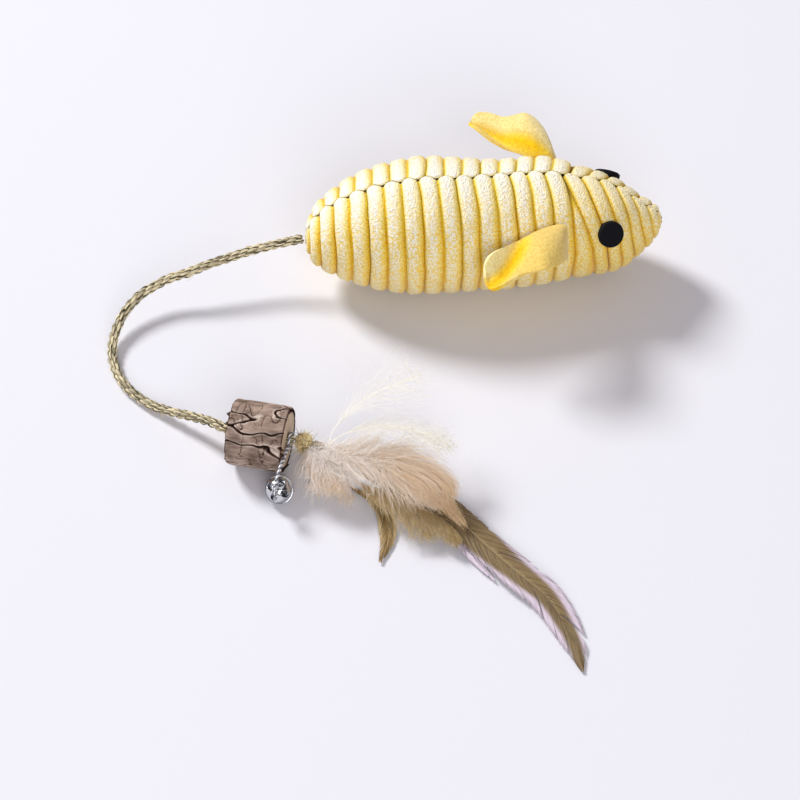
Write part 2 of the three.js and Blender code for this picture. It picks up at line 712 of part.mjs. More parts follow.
const pelletFloor = bellWall + clearance + pelletDiameter / 2;
const pellet = new THREE.IcosahedronGeometry(pelletDiameter / 2, 2);
bellFrame.updateMatrixWorld(true);
const pelletPlace = bellFrame.position.clone().setZ(pelletFloor - beadRadius);
piece('bell_pellet', pellet.translate(...pelletPlace.toArray()), silver, beadFrame);

// Silver cord: a loop round the rope, the cord, and a ring through the shank
const cordRadius = cordWire / 2;
const loopRadius = ropeRadius + clearance + cordRadius;
const linkRadius = shankRing + clearance;
const linkAt = shankAt + linkRadius;
const linkPlace = new THREE.Vector3(0, 0, linkAt).applyEuler(bellFrame.rotation).add(bellFrame.position);
const linkOut = new THREE.Vector3(0, 0, 1).applyEuler(bellFrame.rotation);
const linkEnd = linkPlace.clone().addScaledVector(linkOut, linkRadius);
const loopSide = new THREE.Vector3(loopAt, -loopRadius, 0);
const cordPath = new THREE.CatmullRomCurve3([
  loopSide,
  loopSide.clone().lerp(linkEnd, 0.3).add(new THREE.Vector3(0, 0, cordRise * 0.7)),
  loopSide.clone().lerp(linkEnd, 0.65).add(new THREE.Vector3(0, 0, cordRise)),
  linkEnd,
], false, 'centripetal');
const link = new THREE.TorusGeometry(linkRadius, cordRadius, ropeSides, ropeSides * 2).rotateY(Math.PI / 2);
link.applyMatrix4(new THREE.Matrix4().makeRotationFromEuler(bellFrame.rotation));
link.translate(...linkPlace.toArray());
const ropeLoop = new THREE.TorusGeometry(loopRadius, cordRadius, ropeSides, ropeSides * 2)
  .rotateY(Math.PI / 2).translate(loopAt, 0, 0);
piece('bell_cord', joined([ropeLoop, tube(cordPath, cordRadius, 10), link]), tinsel, beadFrame);

// Feathers
// Path from a root in the end of the whipping, which starts a clearance off it and straight out
function featherPath({ reach, pathShares, rootShares }, lead) {
  const [across, rise] = rootShares.map((share) => share * collarDiameter);
  const start = new THREE.Vector3(collarTo + clearance, across, knotHeight + rise);
  const places = pathShares.map((share) => (
    new THREE.Vector3(share[0] * reach, share[1] * reach, share[2] * knotHeight)
  ));
  const straight = start.clone().setX(start.x + lead);
  return new THREE.CatmullRomCurve3([start, straight, ...places], false, 'centripetal');
}

// Sides of a path that stays near level: across it, and up from it
function pathFrame(path, share) {
  const along = path.getTangentAt(share);
  const across = new THREE.Vector3(-along.y, along.x, 0).normalize();
  return { place: path.getPointAt(share), across, up: along.clone().cross(across).normalize() };
}

// Flat vane on a raised quill, from its root at the whipping to its tip
function feather(shape) {
  const quill = quillDiameter / 2;
  const path = featherPath(shape, quillLead);
  const steps = shape.widthShares.length * 2 - 2;
  const rings = Array.from({ length: steps + 1 }, (_, i) => {
    const { place, across, up } = pathFrame(path, i / steps);
    const half = Math.max((shape.width / 2) * evenTable(shape.widthShares, i / steps), quill);
    const edge = half > quill * 1.5 ? vaneThickness / 4 : quill / 2;
    const ridge = half > quill * 1.5 ? vaneThickness / 2 : quill * 0.8;
    const section = [
      [-half, edge], [-quill, ridge], [0, quill * 1.1], [quill, ridge], [half, edge],
      [half, -edge], [quill, -ridge], [0, -quill * 1.1], [-quill, -ridge], [-half, -edge],
    ];
    return section.map(([side, lift]) => (
      place.clone().addScaledVector(across, side).addScaledVector(up, lift)
    ));
  });
  return loft(rings);
}

function plume(shape) {
  const path = featherPath(shape, downLead);
  const steps = shape.widthShares.length * 2 - 2;
  const rings = Array.from({ length: steps + 1 }, (_, i) => {
    const { place, across, up } = pathFrame(path, i / steps);
    const half = (shape.width / 2) * evenTable(shape.widthShares, i / steps);
    const deep = (shape.depth / 2) * evenTable(shape.depthShares, i / steps);
    return Array.from({ length: plumeColumns }, (_unused, c) => {
      const angle = (c / plumeColumns) * Math.PI * 2;
      const [side, lift] = [half * Math.cos(angle), deep * Math.sin(angle)];
      return place.clone().addScaledVector(across, side).addScaledVector(up, lift);
    });
  });
  return loft(rings);
}

piece('feather_long', feather(longFeather), oliveFeather, bunchFrame);
piece('feather_second', feather(secondFeather), oliveFeather, bunchFrame);
piece('feather_hackle', feather(hackle), oliveFeather, bunchFrame);
piece('plume_pink', plume(pinkPlume), pinkDown, bunchFrame);
piece('plume_white', plume(whiteTuft), creamDown, bunchFrame);
piece('plume_olive', plume(olivePlume), oliveDown, bunchFrame);
piece('plume_cream', plume(creamPlume), creamDown, bunchFrame);
piece('plume_cream_fan', plume(creamFan), creamDown, bunchFrame);

export default mouse;
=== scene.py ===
# %% [markdown]
# # A plush mouse for cats
# The toy is a stuffed corduroy body with felt ears, and a rope tail that carries a bored slice of
# branch, a jingle bell on a silver cord and a bunch of feathers. The frame brings each piece at its
# real size and place. This lesson gives each one the surface that the real one has.
# Lengths are written in millimetres and multiplied by MM, because Blender works in metres.

# %% Load the frame
import json
import math

import bpy
import numpy as np
from mathutils import Matrix, Vector, noise

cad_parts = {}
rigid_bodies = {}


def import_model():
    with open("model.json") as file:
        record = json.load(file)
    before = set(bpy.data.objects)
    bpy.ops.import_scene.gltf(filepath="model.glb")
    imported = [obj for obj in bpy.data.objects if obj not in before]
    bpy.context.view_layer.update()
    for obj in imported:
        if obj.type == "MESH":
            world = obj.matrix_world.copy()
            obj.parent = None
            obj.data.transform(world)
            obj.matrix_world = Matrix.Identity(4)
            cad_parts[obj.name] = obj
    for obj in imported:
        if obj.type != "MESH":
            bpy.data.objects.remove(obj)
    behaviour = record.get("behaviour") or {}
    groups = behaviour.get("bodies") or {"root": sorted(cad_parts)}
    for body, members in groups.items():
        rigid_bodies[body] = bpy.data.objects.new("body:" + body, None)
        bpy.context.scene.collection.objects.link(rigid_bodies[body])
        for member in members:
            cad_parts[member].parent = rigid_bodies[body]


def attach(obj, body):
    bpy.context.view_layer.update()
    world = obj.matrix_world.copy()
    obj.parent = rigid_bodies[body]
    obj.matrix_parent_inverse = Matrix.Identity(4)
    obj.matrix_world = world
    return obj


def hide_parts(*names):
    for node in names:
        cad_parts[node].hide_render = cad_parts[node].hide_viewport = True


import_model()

MM = 0.001
FULL_TURN = 2 * math.pi
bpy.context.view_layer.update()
bpy.ops.object.select_all(action="DESELECT")

# %% [markdown]
# ## The photographer's camera
# The view looks down at the toy from its right side, half way up the sky. A long lens keeps the near
# and the far ear nearly the same size. The camera is placed by two angles and a distance from the
# point on the floor that sits in the middle of the frame.

# %% Camera
AIM = Vector((-29.16, -53.07, 0)) * MM
CAMERA_AZIMUTH = math.radians(-3.154)
CAMERA_ELEVATION = math.radians(50)
CAMERA_DISTANCE = 750 * MM
CAMERA_LENS = 110.8
SENSOR_WIDTH = 36
flat_part = math.cos(CAMERA_ELEVATION)
toward_camera = Vector((
    math.sin(CAMERA_AZIMUTH) * flat_part,
    -math.cos(CAMERA_AZIMUTH) * flat_part,
    math.sin(CAMERA_ELEVATION),
))
bpy.ops.object.camera_add(location=AIM + toward_camera * CAMERA_DISTANCE)
camera = bpy.context.object
camera.rotation_euler = (-toward_camera).to_track_quat("-Z", "Y").to_euler()
camera.data.lens = CAMERA_LENS
camera.data.sensor_width = SENSOR_WIDTH
bpy.context.scene.camera = camera
print("camera at, mm:", [round(value / MM) for value in camera.location])

# %% [markdown]
# ## Light and floor
# One wide lamp stands behind the toy on the left, so that the wales throw their shade to the right. A
# larger and weaker one lights the front, and a pale sky fills the shadows. Rays that come from the
# camera see the sky at full white instead of as a light. Rays off metal see the same white ceiling
# over the dim wall of a studio, which gives polished metal something dark to reflect.

# %% Colours are written as on a screen, and turned into the linear values that shaders use
def paint(red, green, blue):
    """A screen colour, 0 to 255, as a linear one."""
    return tuple((value / 255) ** 2.2 for value in (red, green, blue)) + (1,)


# %% Materials and the nodes that they share
def new_material(name, **sockets):
    """A material with a Principled shader, whose sockets are set by name.

    Returns the material, its node tree and the shader."""
    made = bpy.data.materials.new(name)
    made.use_nodes = True
    shader = made.node_tree.nodes["Principled BSDF"]
    for socket, value in sockets.items():
        shader.inputs[socket.replace("_", " ")].default_value = value
    return made, made.node_tree, shader


def math_node(tree, operation, *values, clamp=False):
    """A math node. Each of its values is a number or another node's socket."""
    node = tree.nodes.new("ShaderNodeMath")
    node.operation = operation
    node.use_clamp = clamp
    for socket, value in zip(node.inputs, values):
        if isinstance(value, (int, float)):
            socket.default_value = value
        else:
            tree.links.new(value, socket)
    return node.outputs[0]


def color_mix(tree, blend="MIX"):
    """A node that mixes two colours, with its three inputs and its output."""
    node = tree.nodes.new("ShaderNodeMix")
    node.data_type = "RGBA"
    node.blend_type = blend
    return node, node.inputs["Factor"], node.inputs[6], node.inputs[7], node.outputs[2]


def color_ramp(tree, number, stops):
    """Turns a number into a colour, by (place, colour) stops in their order."""
    ramp = tree.nodes.new("ShaderNodeValToRGB")
    elements = ramp.color_ramp.elements
    for element, (place, color) in zip(elements, (stops[0], stops[-1])):
        element.position = place
        element.color = color
    for place, color in stops[1:-1]:
        elements.new(place).color = color
    tree.links.new(number, ramp.inputs["Fac"])
    return ramp.outputs["Color"]


# %% Floor and lamps
FLOOR_SIZE = 6
bpy.ops.mesh.primitive_plane_add(size=FLOOR_SIZE)
floor = bpy.context.object
floor.name = "floor"
paper, _, _ = new_material("pale_paper", Base_Color=paint(224, 224, 230), Roughness=0.9)
floor.data.materials.append(paper)


def lamp(name, way, distance, size, watts):
    """A round area lamp that shines at the middle of the view from a direction."""
    data = bpy.data.lights.new(name, "AREA")
    data.shape = "DISK"
    data.size = size
    data.energy = watts
    made = bpy.data.objects.new(name, data)
    bpy.context.scene.collection.objects.link(made)
    way = Vector(way).normalized()
    made.location = AIM + way * distance
    made.rotation_euler = (-way).to_track_quat("-Z", "Y").to_euler()
    print(name, watts, "W")


lamp("window", (-0.56, 0.58, 0.68), 3.4, 0.98, 117)
lamp("front_fill", (0.1, -0.85, 0.52), 2.6, 1.8, 33)

# %% The sky, as a light and as what the camera and metal see
SKY_FILL = 0.315
SKY_WHITE = paint(246, 246, 250)
world = bpy.data.worlds.new("sky")
bpy.context.scene.world = world
world.use_nodes = True
sky = world.node_tree
sky_light = sky.nodes["Background"]
sky_light.inputs["Color"].default_value = paint(250, 242, 252)
sky_light.inputs["Strength"].default_value = SKY_FILL
sky_place = sky.nodes.new("ShaderNodeTexCoord")
sky_height = sky.nodes.new("ShaderNodeSeparateXYZ")
sky.links.new(sky_place.outputs["Generated"], sky_height.inputs[0])
studio = color_ramp(sky, sky_height.outputs["Z"], (
    (0.0, SKY_WHITE), (0.08, paint(110, 106, 110)), (0.2, paint(34, 32, 36)),
    (0.74, paint(58, 56, 60)), (0.84, SKY_WHITE), (1.0, SKY_WHITE)))
ray = sky.nodes.new("ShaderNodeLightPath")
_, from_camera, studio_side, white_side, seen_color = color_mix(sky)
white_side.default_value = SKY_WHITE
sky_seen = sky.nodes.new("ShaderNodeBackground")
seen = math_node(sky, "MAXIMUM", ray.outputs["Is Camera Ray"], ray.outputs["Is Glossy Ray"])
seen = math_node(sky, "MAXIMUM", seen, ray.outputs["Is Transmission Ray"])
sky_mix = sky.nodes.new("ShaderNodeMixShader")
for source, target in (
    (ray.outputs["Is Camera Ray"], from_camera), (studio, studio_side),
    (seen_color, sky_seen.inputs["Color"]), (seen, sky_mix.inputs["Fac"]),
    (sky_light.outputs[0], sky_mix.inputs[1]), (sky_seen.outputs[0], sky_mix.inputs[2]),
    (sky_mix.outputs[0], sky.nodes["World Output"].inputs["Surface"]),
):
    sky.links.new(source, target)
bpy.context.scene.view_settings.view_transform = "Standard"
print("sky fill", SKY_FILL)

# %% [markdown]
# ## Helpers for lines and strands
# A rope, a feather and down are all made of thin strands. Each strand follows a smooth line, so two
# helpers draw and respace lines, and one turns many lines at once into closed tapering tubes. Thousands
# of strands are too many to model by hand, so these meshes are written directly. The folded and ribbed
# pieces start as a grid or a sphere, whose vertices other helpers read, move and mark.

# %% A smooth line through listed points
def smooth_line(points, steps=24):
    """A centripetal Catmull-Rom curve: it passes through every point and doesn't overshoot."""
    p = np.array(points, float)
    p = np.vstack([2 * p[0] - p[1], p, 2 * p[-1] - p[-2]])
    t = np.linspace(0, 1, steps, endpoint=False)[:, None]
    pieces = []
    for a, b, c, d in zip(p, p[1:], p[2:], p[3:]):
        g0, g1, g2 = (max(np.linalg.norm(far - near), 1e-9) ** 0.5
                      for near, far in ((a, b), (b, c), (c, d)))
        leave = ((b - a) / g0 - (c - a) / (g0 + g1) + (c - b) / g1) * g1
        arrive = ((c - b) / g1 - (d - b) / (g1 + g2) + (d - c) / g2) * g1
        pieces.append(b + leave * t + (3 * c - 3 * b - 2 * leave - arrive) * t**2
                      + (2 * b - 2 * c + leave + arrive) * t**3)
    return np.vstack([*pieces, p[-2:-1]])


def line_length(line):
    """The length along a line of points."""
    return float(np.linalg.norm(np.diff(line, axis=0), axis=1).sum())


def evenly(line, count):
    """The same line, with its points evenly spaced."""
    steps = np.linalg.norm(np.diff(line, axis=0), axis=1)
    at = np.concatenate([[0], np.cumsum(steps)])
    wanted = np.linspace(0, at[-1], count)
    return np.column_stack([np.interp(wanted, at, column) for column in line.T])


def unit(vectors):
    """The same directions with the length 1."""
    return vectors / np.maximum(np.linalg.norm(vectors, axis=-1, keepdims=True), 1e-12)


def table(rows, places):
    """Values of a table of [place, value] rows, on a smooth line through them."""
    line = smooth_line(rows)
    return np.interp(places, line[:, 0], line[:, 1])


# %% Read, move and mark the vertices of a piece
def read_places(piece):
    """The places of a piece's vertices, one row each, in its own unit."""
    places = np.empty(len(piece.data.vertices) * 3)
    piece.data.vertices.foreach_get("co", places)
    return places.reshape(-1, 3)


def write_places(piece, places):
    """Moves the vertices to places in millimetres."""
    piece.data.vertices.foreach_set("co", (places * MM).ravel())
    piece.data.update()


def grid_shares(piece):
    """Where each vertex of a new grid of size 2 lies, as two shares from 0 to 1."""
    return ((read_places(piece)[:, :2] + 1) / 2).T


def set_mark(data, name, values):
    """Keeps one number for each vertex, for the material to read."""
    numbers = np.asarray(values, np.float32).ravel()
    data.attributes.new(name, "FLOAT", "POINT").data.foreach_set("value", numbers)


def apply_modifier(piece, kind, **settings):
    """Adds a modifier with its settings and applies it at once."""
    changed = piece.modifiers.new(kind.lower(), kind)
    for word, value in settings.items():
        setattr(changed, word, value)
    bpy.context.view_layer.objects.active = piece
    bpy.ops.object.modifier_apply(modifier=changed.name)


# %% Many strands in one mesh
def mesh_from(name, vertices, faces, **marks):
    """An object from vertices in millimetres, with its marks."""
    data = bpy.data.meshes.new(name)
    data.from_pydata((np.asarray(vertices) * MM).tolist(), [], faces)
    for word, values in marks.items():
        set_mark(data, word, values)
    data.shade_smooth()
    made = bpy.data.objects.new(name, data)
    bpy.context.scene.collection.objects.link(made)
    return made


def strand_arrays(lines, radii, sides=3, facing=(0.2, 0.3, 1), flat=1.0, tone=None, along=None):
    """Closed tubes round many lines at once. lines is (strand, step, xyz) and radii (strand, step).

    flat below 1 thins the tube along facing. Returns vertices, faces, and the marks along and tone."""
    lines = np.asarray(lines, float)
    count, steps, _ = lines.shape
    radii = np.broadcast_to(radii, (count, steps))
    ahead = unit(np.gradient(lines, axis=1))
    across = unit(np.cross(ahead, np.broadcast_to(np.asarray(facing, float), lines.shape)))
    up = np.cross(across, ahead)
    turn = np.arange(sides) / sides * FULL_TURN
    ring = (across[:, :, None] * np.cos(turn)[:, None] + flat * up[:, :, None] * np.sin(turn)[:, None])
    vertices = lines[:, :, None] + radii[:, :, None, None] * ring
    first = np.arange(count)[:, None, None] * steps * sides
    step = np.arange(steps - 1)[None, :, None] * sides
    side = np.arange(sides)[None, None, :]
    after = (side + 1) % sides
    a, b = first + step + side, first + step + after
    quads = np.stack([a, b, b + sides, a + sides], -1).reshape(-1, 4)
    caps = np.concatenate([
        (first[:, 0] + np.arange(sides)[::-1]),
        (first[:, 0] + (steps - 1) * sides + np.arange(sides)),
    ])
    faces = quads.tolist() + caps.tolist()
    along = np.linspace(0, 1, steps)[None, :] if along is None else np.asarray(along, float)
    along = np.broadcast_to(along[:, :, None], (count, steps, sides))
    tone = np.zeros(count) if tone is None else np.asarray(tone, float)
    tones = np.broadcast_to(tone.reshape(count, -1)[:, :, None] if tone.ndim > 1 else tone[:, None, None],
                            (count, steps, sides))
    return vertices.reshape(-1, 3), faces, along.reshape(-1), tones.reshape(-1)


def spike_arrays(starts, ends, radius, tone, along):
    """Closed three-sided spikes, the shortest hairs of down. The marks are one number a spike."""
    count = len(starts)
    ahead = unit(ends - starts)
    across = unit(np.cross(ahead, [0.37, 0.21, 0.9]))
    up = np.cross(across, ahead)
    foot = [starts + radius * (across * math.cos(turn) + up * math.sin(turn))
            for turn in (0, FULL_TURN / 3, FULL_TURN * 2 / 3)]
    vertices = np.stack([*foot, ends], 1).reshape(-1, 3)
    corner = np.arange(count)[:, None] * 4
    faces = np.concatenate([corner + order for order in ([0, 1, 3], [1, 2, 3], [2, 0, 3], [2, 1, 0])])
    return vertices, faces.tolist(), np.repeat(along, 4), np.repeat(tone, 4)


def join_arrays(*parts):
    """Puts several results of strand_arrays together."""
    vertices, faces, along, tone = [], [], [], []
    start = 0
    for part in parts:
        vertices.append(part[0])
        faces += [[start + corner for corner in face] for face in part[1]]
        along.append(part[2])
        tone.append(part[3])
        start += len(part[0])
    return np.vstack(vertices), faces, np.concatenate(along), np.concatenate(tone)


def strands(name, *parts):
    """One object from several results of strand_arrays, with their marks."""
    vertices, faces, along, tone = join_arrays(*parts)
    made = mesh_from(name, vertices, faces, along=along, tone=tone)
    print(name, len(faces), "faces")
    return made


# %% [markdown]
# ## Shared finishes
# Two effects return in nearly every material here. Surface grain is a noise that shades a colour and
# lifts the surface. Strand colour runs from a strand's root to its tip and differs from strand to
# strand. Each is one node group, placed in the materials with values of their own.

# %% Node group: surface grain
def group_tree(name, inputs, outputs):
    """A new node group, with its node of inputs and its node of outputs."""
    tree = bpy.data.node_groups.new(name, "ShaderNodeTree")
    for word, kind, value in inputs:
        socket = tree.interface.new_socket(word, in_out="INPUT", socket_type=kind)
        socket.default_value = value
    for word, kind in outputs:
        tree.interface.new_socket(word, in_out="OUTPUT", socket_type=kind)
    return tree, tree.nodes.new("NodeGroupInput"), tree.nodes.new("NodeGroupOutput")


GRAY = (0.5, 0.5, 0.5, 1)
grain_tree, grain_in, grain_out = group_tree(
    "surface_grain",
    [("Low", "NodeSocketColor", GRAY), ("High", "NodeSocketColor", GRAY), ("Scale", "NodeSocketFloat", 500),
     ("Detail", "NodeSocketFloat", 3), ("Stretch", "NodeSocketVector", (1, 1, 1)),
     ("Sharpness", "NodeSocketFloat", 1.5)],
    [("Color", "NodeSocketColor"), ("Height", "NodeSocketFloat")],
)
grain_place = grain_tree.nodes.new("ShaderNodeTexCoord")
grain_stretch = grain_tree.nodes.new("ShaderNodeVectorMath")
grain_stretch.operation = "MULTIPLY"
grain_noise = grain_tree.nodes.new("ShaderNodeTexNoise")
grain_spread = math_node(grain_tree, "SUBTRACT", grain_noise.outputs[0], 0.5)
grain_height = math_node(grain_tree, "MULTIPLY_ADD", grain_spread, grain_in.outputs["Sharpness"], 0.5,
                         clamp=True)
_, grain_factor, grain_low, grain_high, grain_color = color_mix(grain_tree)
for source, target in (
    (grain_place.outputs["Object"], grain_stretch.inputs[0]),
    (grain_in.outputs["Stretch"], grain_stretch.inputs[1]),
    (grain_stretch.outputs[0], grain_noise.inputs["Vector"]),
    (grain_in.outputs["Scale"], grain_noise.inputs["Scale"]),
    (grain_in.outputs["Detail"], grain_noise.inputs["Detail"]),
    (grain_in.outputs["Low"], grain_low),
    (grain_in.outputs["High"], grain_high),
    (grain_height, grain_factor),
    (grain_color, grain_out.inputs["Color"]),
    (grain_height, grain_out.inputs["Height"]),
):
    grain_tree.links.new(source, target)
print("group:", grain_tree.name, "with", len(grain_tree.nodes), "nodes")

# %% Node group: strand colour
strand_tree, strand_in, strand_out = group_tree(
    "strand_color",
    [("Root", "NodeSocketColor", GRAY), ("Tip", "NodeSocketColor", GRAY), ("Other", "NodeSocketColor", GRAY),
     ("Spread", "NodeSocketFloat", 1)],
    [("Color", "NodeSocketColor"), ("Along", "NodeSocketFloat"), ("Tone", "NodeSocketFloat")],
)
along_mark, tone_mark = (strand_tree.nodes.new("ShaderNodeAttribute") for _ in range(2))
along_mark.attribute_name = "along"
tone_mark.attribute_name = "tone"
_, run_factor, run_root, run_tip, run_color = color_mix(strand_tree)
_, tone_factor, tone_base, tone_other, tone_color = color_mix(strand_tree)
tone_scale = math_node(strand_tree, "MULTIPLY", tone_mark.outputs["Fac"], strand_in.outputs["Spread"],
                       clamp=True)
for source, target in (
    (along_mark.outputs["Fac"], run_factor), (strand_in.outputs["Root"], run_root),
    (strand_in.outputs["Tip"], run_tip), (tone_scale, tone_factor),
    (run_color, tone_base), (strand_in.outputs["Other"], tone_other),
    (tone_color, strand_out.inputs["Color"]), (along_mark.outputs["Fac"], strand_out.inputs["Along"]),
    (tone_mark.outputs["Fac"], strand_out.inputs["Tone"]),
):
    strand_tree.links.new(source, target)
print("group:", strand_tree.name, "with", len(strand_tree.nodes), "nodes")

# %% Placing a group in a material
def place_group(tree, group, **values):
    """Puts a group into a tree and sets its inputs by name."""
    node = tree.nodes.new("ShaderNodeGroup")
    node.node_tree = group
    for word, value in values.items():
        node.inputs[word].default_value = value
    return node


def bump_from(tree, shader, height, distance):
    """Lifts the shader's normal by a height. distance is in millimetres."""
    bump = tree.nodes.new("ShaderNodeBump")
    bump.inputs["Distance"].default_value = distance * MM
    bump.inputs["Strength"].default_value = 1
    tree.links.new(height, bump.inputs["Height"])
    tree.links.new(bump.outputs[0], shader.inputs["Normal"])


def grained(name, low, high, scale, lift, stretch=(1, 1, 1), detail=3.0, sharpness=1.5, **sockets):
    """A material of one grained surface: wood, felt, thread or plastic."""
    made, tree, shader = new_material(name, **sockets)
    grain = place_group(tree, grain_tree, Low=low, High=high, Scale=scale, Detail=detail, Stretch=stretch,
                        Sharpness=sharpness)
    tree.links.new(grain.outputs["Color"], shader.inputs["Base Color"])
    bump_from(tree, shader, grain.outputs["Height"], lift)
    return made


def stranded(name, root, tip, other, spread=1.0, **sockets):
    """A material of fine strands: down, barbs or fibre."""
    made, tree, shader = new_material(name, **sockets)
    strand = place_group(tree, strand_tree, Root=root, Tip=tip, Other=other, Spread=spread)
    tree.links.new(strand.outputs["Color"], shader.inputs["Base Color"])
    return made


def dress(piece, material, body, node):
    """Gives a finished piece its material and its body, and hides the node it stands for."""
    piece.data.materials.clear()
    piece.data.materials.append(material)
    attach(piece, body)
    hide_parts(node)
    print(piece.name, "wears", material.name, "and rides on", body)


# %% [markdown]
# ## The rope tail
# A dry grass rope of three strands leaves the rear of the body, falls to the floor in one wide bend,
# rises into the branch bead and ends in the knot behind it. It was made first, because the bead, the
# bell and the feathers all hang on it. The route is the list of points that the frame's own rope
# follows. Each strand is a bundle of flat fibres that winds round the route.

# %% The rope's route
TAIL_END = -56
EXIT_HEIGHT = 16.985
ROPE_RADIUS = 1.6
ROPE_START = 0.9
ROPE_LEAD = 4.5
rope_points = [
    [-11, -0.2, 14.8], [-18, -1, 13.4], [-24.5, -2.6, 12.4], [-31, -4.2, 11.4], [-37, -6, 10.2],
    [-42.3, -7, 9.2], [-47, -8.7, 8], [-51.2, -11.1, 7.1], [-54.6, -14.2, 6.1], [-57.3, -17.7, 5.1],
    [-59.2, -21.8, 4], [-60.4, -25.8, 3.1], [-60.9, -30, 2.4], [-60.5, -34.2, 2], [-59.3, -38.8, 1.8],
    [-57, -43.6, 1.8], [-53.3, -48.4, 1.8], [-48.6, -52.6, 2.1], [-43, -56.6, 3.4], [-37, -60.6, 5.8],
    [-31, -65, 8.2],
]
BEAD_RADIUS = 10
BEAD_LENGTH = 17
BEAD_ENTRY = [TAIL_END - 23.9, -70.6]
BEAD_YAW = math.radians(-15)
CLEARANCE = 0.3
SILVER_WIRE = 0.9
KNOT_RADIUS = 2.9
loop_at = BEAD_LENGTH + CLEARANCE + SILVER_WIRE / 2
rope_end_at = loop_at + SILVER_WIRE / 2 + CLEARANCE
knot_at = rope_end_at + CLEARANCE + KNOT_RADIUS
bead_ahead = np.array([math.cos(BEAD_YAW), math.sin(BEAD_YAW), 0])
bead_left = np.array([-math.sin(BEAD_YAW), math.cos(BEAD_YAW), 0])
bead_origin = np.array([*BEAD_ENTRY, BEAD_RADIUS])


def in_bead(ahead, left=0.0, up=0.0):
    """A place in the bead's own frame, whose first axis is the bore."""
    return bead_origin + bead_ahead * ahead + bead_left * left + np.array([0, 0, up])


rope_exit = np.array([TAIL_END - ROPE_START, 0, EXIT_HEIGHT])
rope_line = smooth_line([
    rope_exit, rope_exit + [-ROPE_LEAD, 0, -ROPE_LEAD / 5],
    *[[TAIL_END + x, y, z] for x, y, z in rope_points],
    *[in_bead(place) for place in (0, BEAD_LENGTH / 2, BEAD_LENGTH, rope_end_at)],
])

# %% Strands laid round a route
def sides_of(line):
    """Two directions square to each point of a line, which don't spin along it."""
    ahead = unit(np.gradient(line, axis=0))
    side = np.cross(ahead[0], [0, 0, 1.0])
    out = []
    for direction in ahead:
        side = side - direction * (side @ direction)
        side = side / np.linalg.norm(side)
        out.append(side)
    first = np.array(out)
    return first, np.cross(ahead, first)


def laid(line, radius, pitch, start, wobble=0.0, seed=0):
    """A line that winds round another one at a radius, one turn for each pitch."""
    first, second = sides_of(line)
    at = np.concatenate([[0], np.cumsum(np.linalg.norm(np.diff(line, axis=0), axis=1))])
    turn = start + at / pitch * FULL_TURN
    draw = np.random.default_rng(seed)
    rough = np.interp(at, np.linspace(0, at[-1], 40), draw.normal(0, 1, 40)) * wobble
    reach = (radius + rough)[:, None]
    return line + reach * (first * np.cos(turn)[:, None] + second * np.sin(turn)[:, None])


# %% Lay the rope's fibres
ROPE_PLIES = 3
ROPE_PITCH = 9.5
PLY_RADIUS = 0.82
FIBRES = 9
FIBRE_RADIUS = 0.27
FIBRE_PITCH = 7
FIBRE_WOBBLE = 0.07
ROPE_STEPS = 300
TONE_STEPS = 60
route = evenly(rope_line, ROPE_STEPS)
plies = [laid(route, ROPE_RADIUS - PLY_RADIUS, -ROPE_PITCH, ply / ROPE_PLIES * FULL_TURN)
         for ply in range(ROPE_PLIES)]
rope_draw = np.random.default_rng(4)
rope_fibres, rope_tones = [], []
for ply, ply_line in enumerate(plies):
    for fibre in range(FIBRES):
        angle = fibre / FIBRES * FULL_TURN + ply
        rope_fibres.append(laid(ply_line, PLY_RADIUS - FIBRE_RADIUS, FIBRE_PITCH, angle, FIBRE_WOBBLE,
                                ply * FIBRES + fibre))
        usual_tone = (0.95, 0.1, 0.45)[(fibre + ply) % 3]
        dark = np.clip(rope_draw.normal(usual_tone, 0.35, TONE_STEPS), 0, 1)
        rope_tones.append(np.interp(np.linspace(0, 1, ROPE_STEPS), np.linspace(0, 1, TONE_STEPS), dark))
print("fibres:", len(rope_fibres))

# %% Model the rope, with loose hairs
LOOSE_HAIRS = 150
HAIR_STEPS = 9
hair_from = rope_draw.integers(4, ROPE_STEPS - 40, LOOSE_HAIRS)
hair_way = unit(rope_draw.normal(0, 1, (LOOSE_HAIRS, 3)))
hair_lift = np.linspace(0, 1, HAIR_STEPS)[:, None] ** 1.6
hair_lines = [rope_fibres[start % len(rope_fibres)][start:start + HAIR_STEPS]
              + way * hair_lift * rope_draw.uniform(0.5, 1.8) for start, way in zip(hair_from, hair_way)]
hair_tones = rope_draw.uniform(0, 0.3, LOOSE_HAIRS)
rope = strands(
    "hemp_rope",
    strand_arrays(rope_fibres, FIBRE_RADIUS, sides=5, flat=0.8, tone=np.array(rope_tones)),
    strand_arrays(hair_lines, np.linspace(0.09, 0.03, HAIR_STEPS), tone=hair_tones),
)
dry_grass = stranded("dry_grass", paint(242, 228, 188), paint(242, 228, 188), paint(62, 55, 34),
                     Roughness=0.65)
dress(rope, dry_grass, "tail", "tail_rope")

# %% [markdown]
# ## The body
# Two halves of wide corduroy meet down the back, down the chin and along the belly. Each half was made
# as a flat grid, whose columns count the wales from tail to nose and whose rows go from the back seam
# round to the belly seam, and was then wrapped on the body's outline. Moving the grid by formula was
# chosen over extruding ribs one by one, because every wale differs in length and lean. The left half
# is set back by part of a wale, which gives the zigzag on the back, and the seam runs over to the far
# side towards the head. At the ears a closed dart opens one more wale downwards, so that the wales of
# the head lean.

# %% The body's outline
BODY_LENGTH = 112
BODY_RADIUS = 21.5
# Rows of [share of the length, share of the radius], from the tail to the nose.
outline_shares = [
    [0, 0], [0.005, 0.2], [0.031, 0.45], [0.1, 0.693], [0.19, 0.884], [0.32, 1], [0.49, 0.958],
    [0.64, 0.893], [0.765, 0.786], [0.83, 0.738], [0.885, 0.65], [0.956, 0.42], [0.99, 0.2], [1, 0],
]
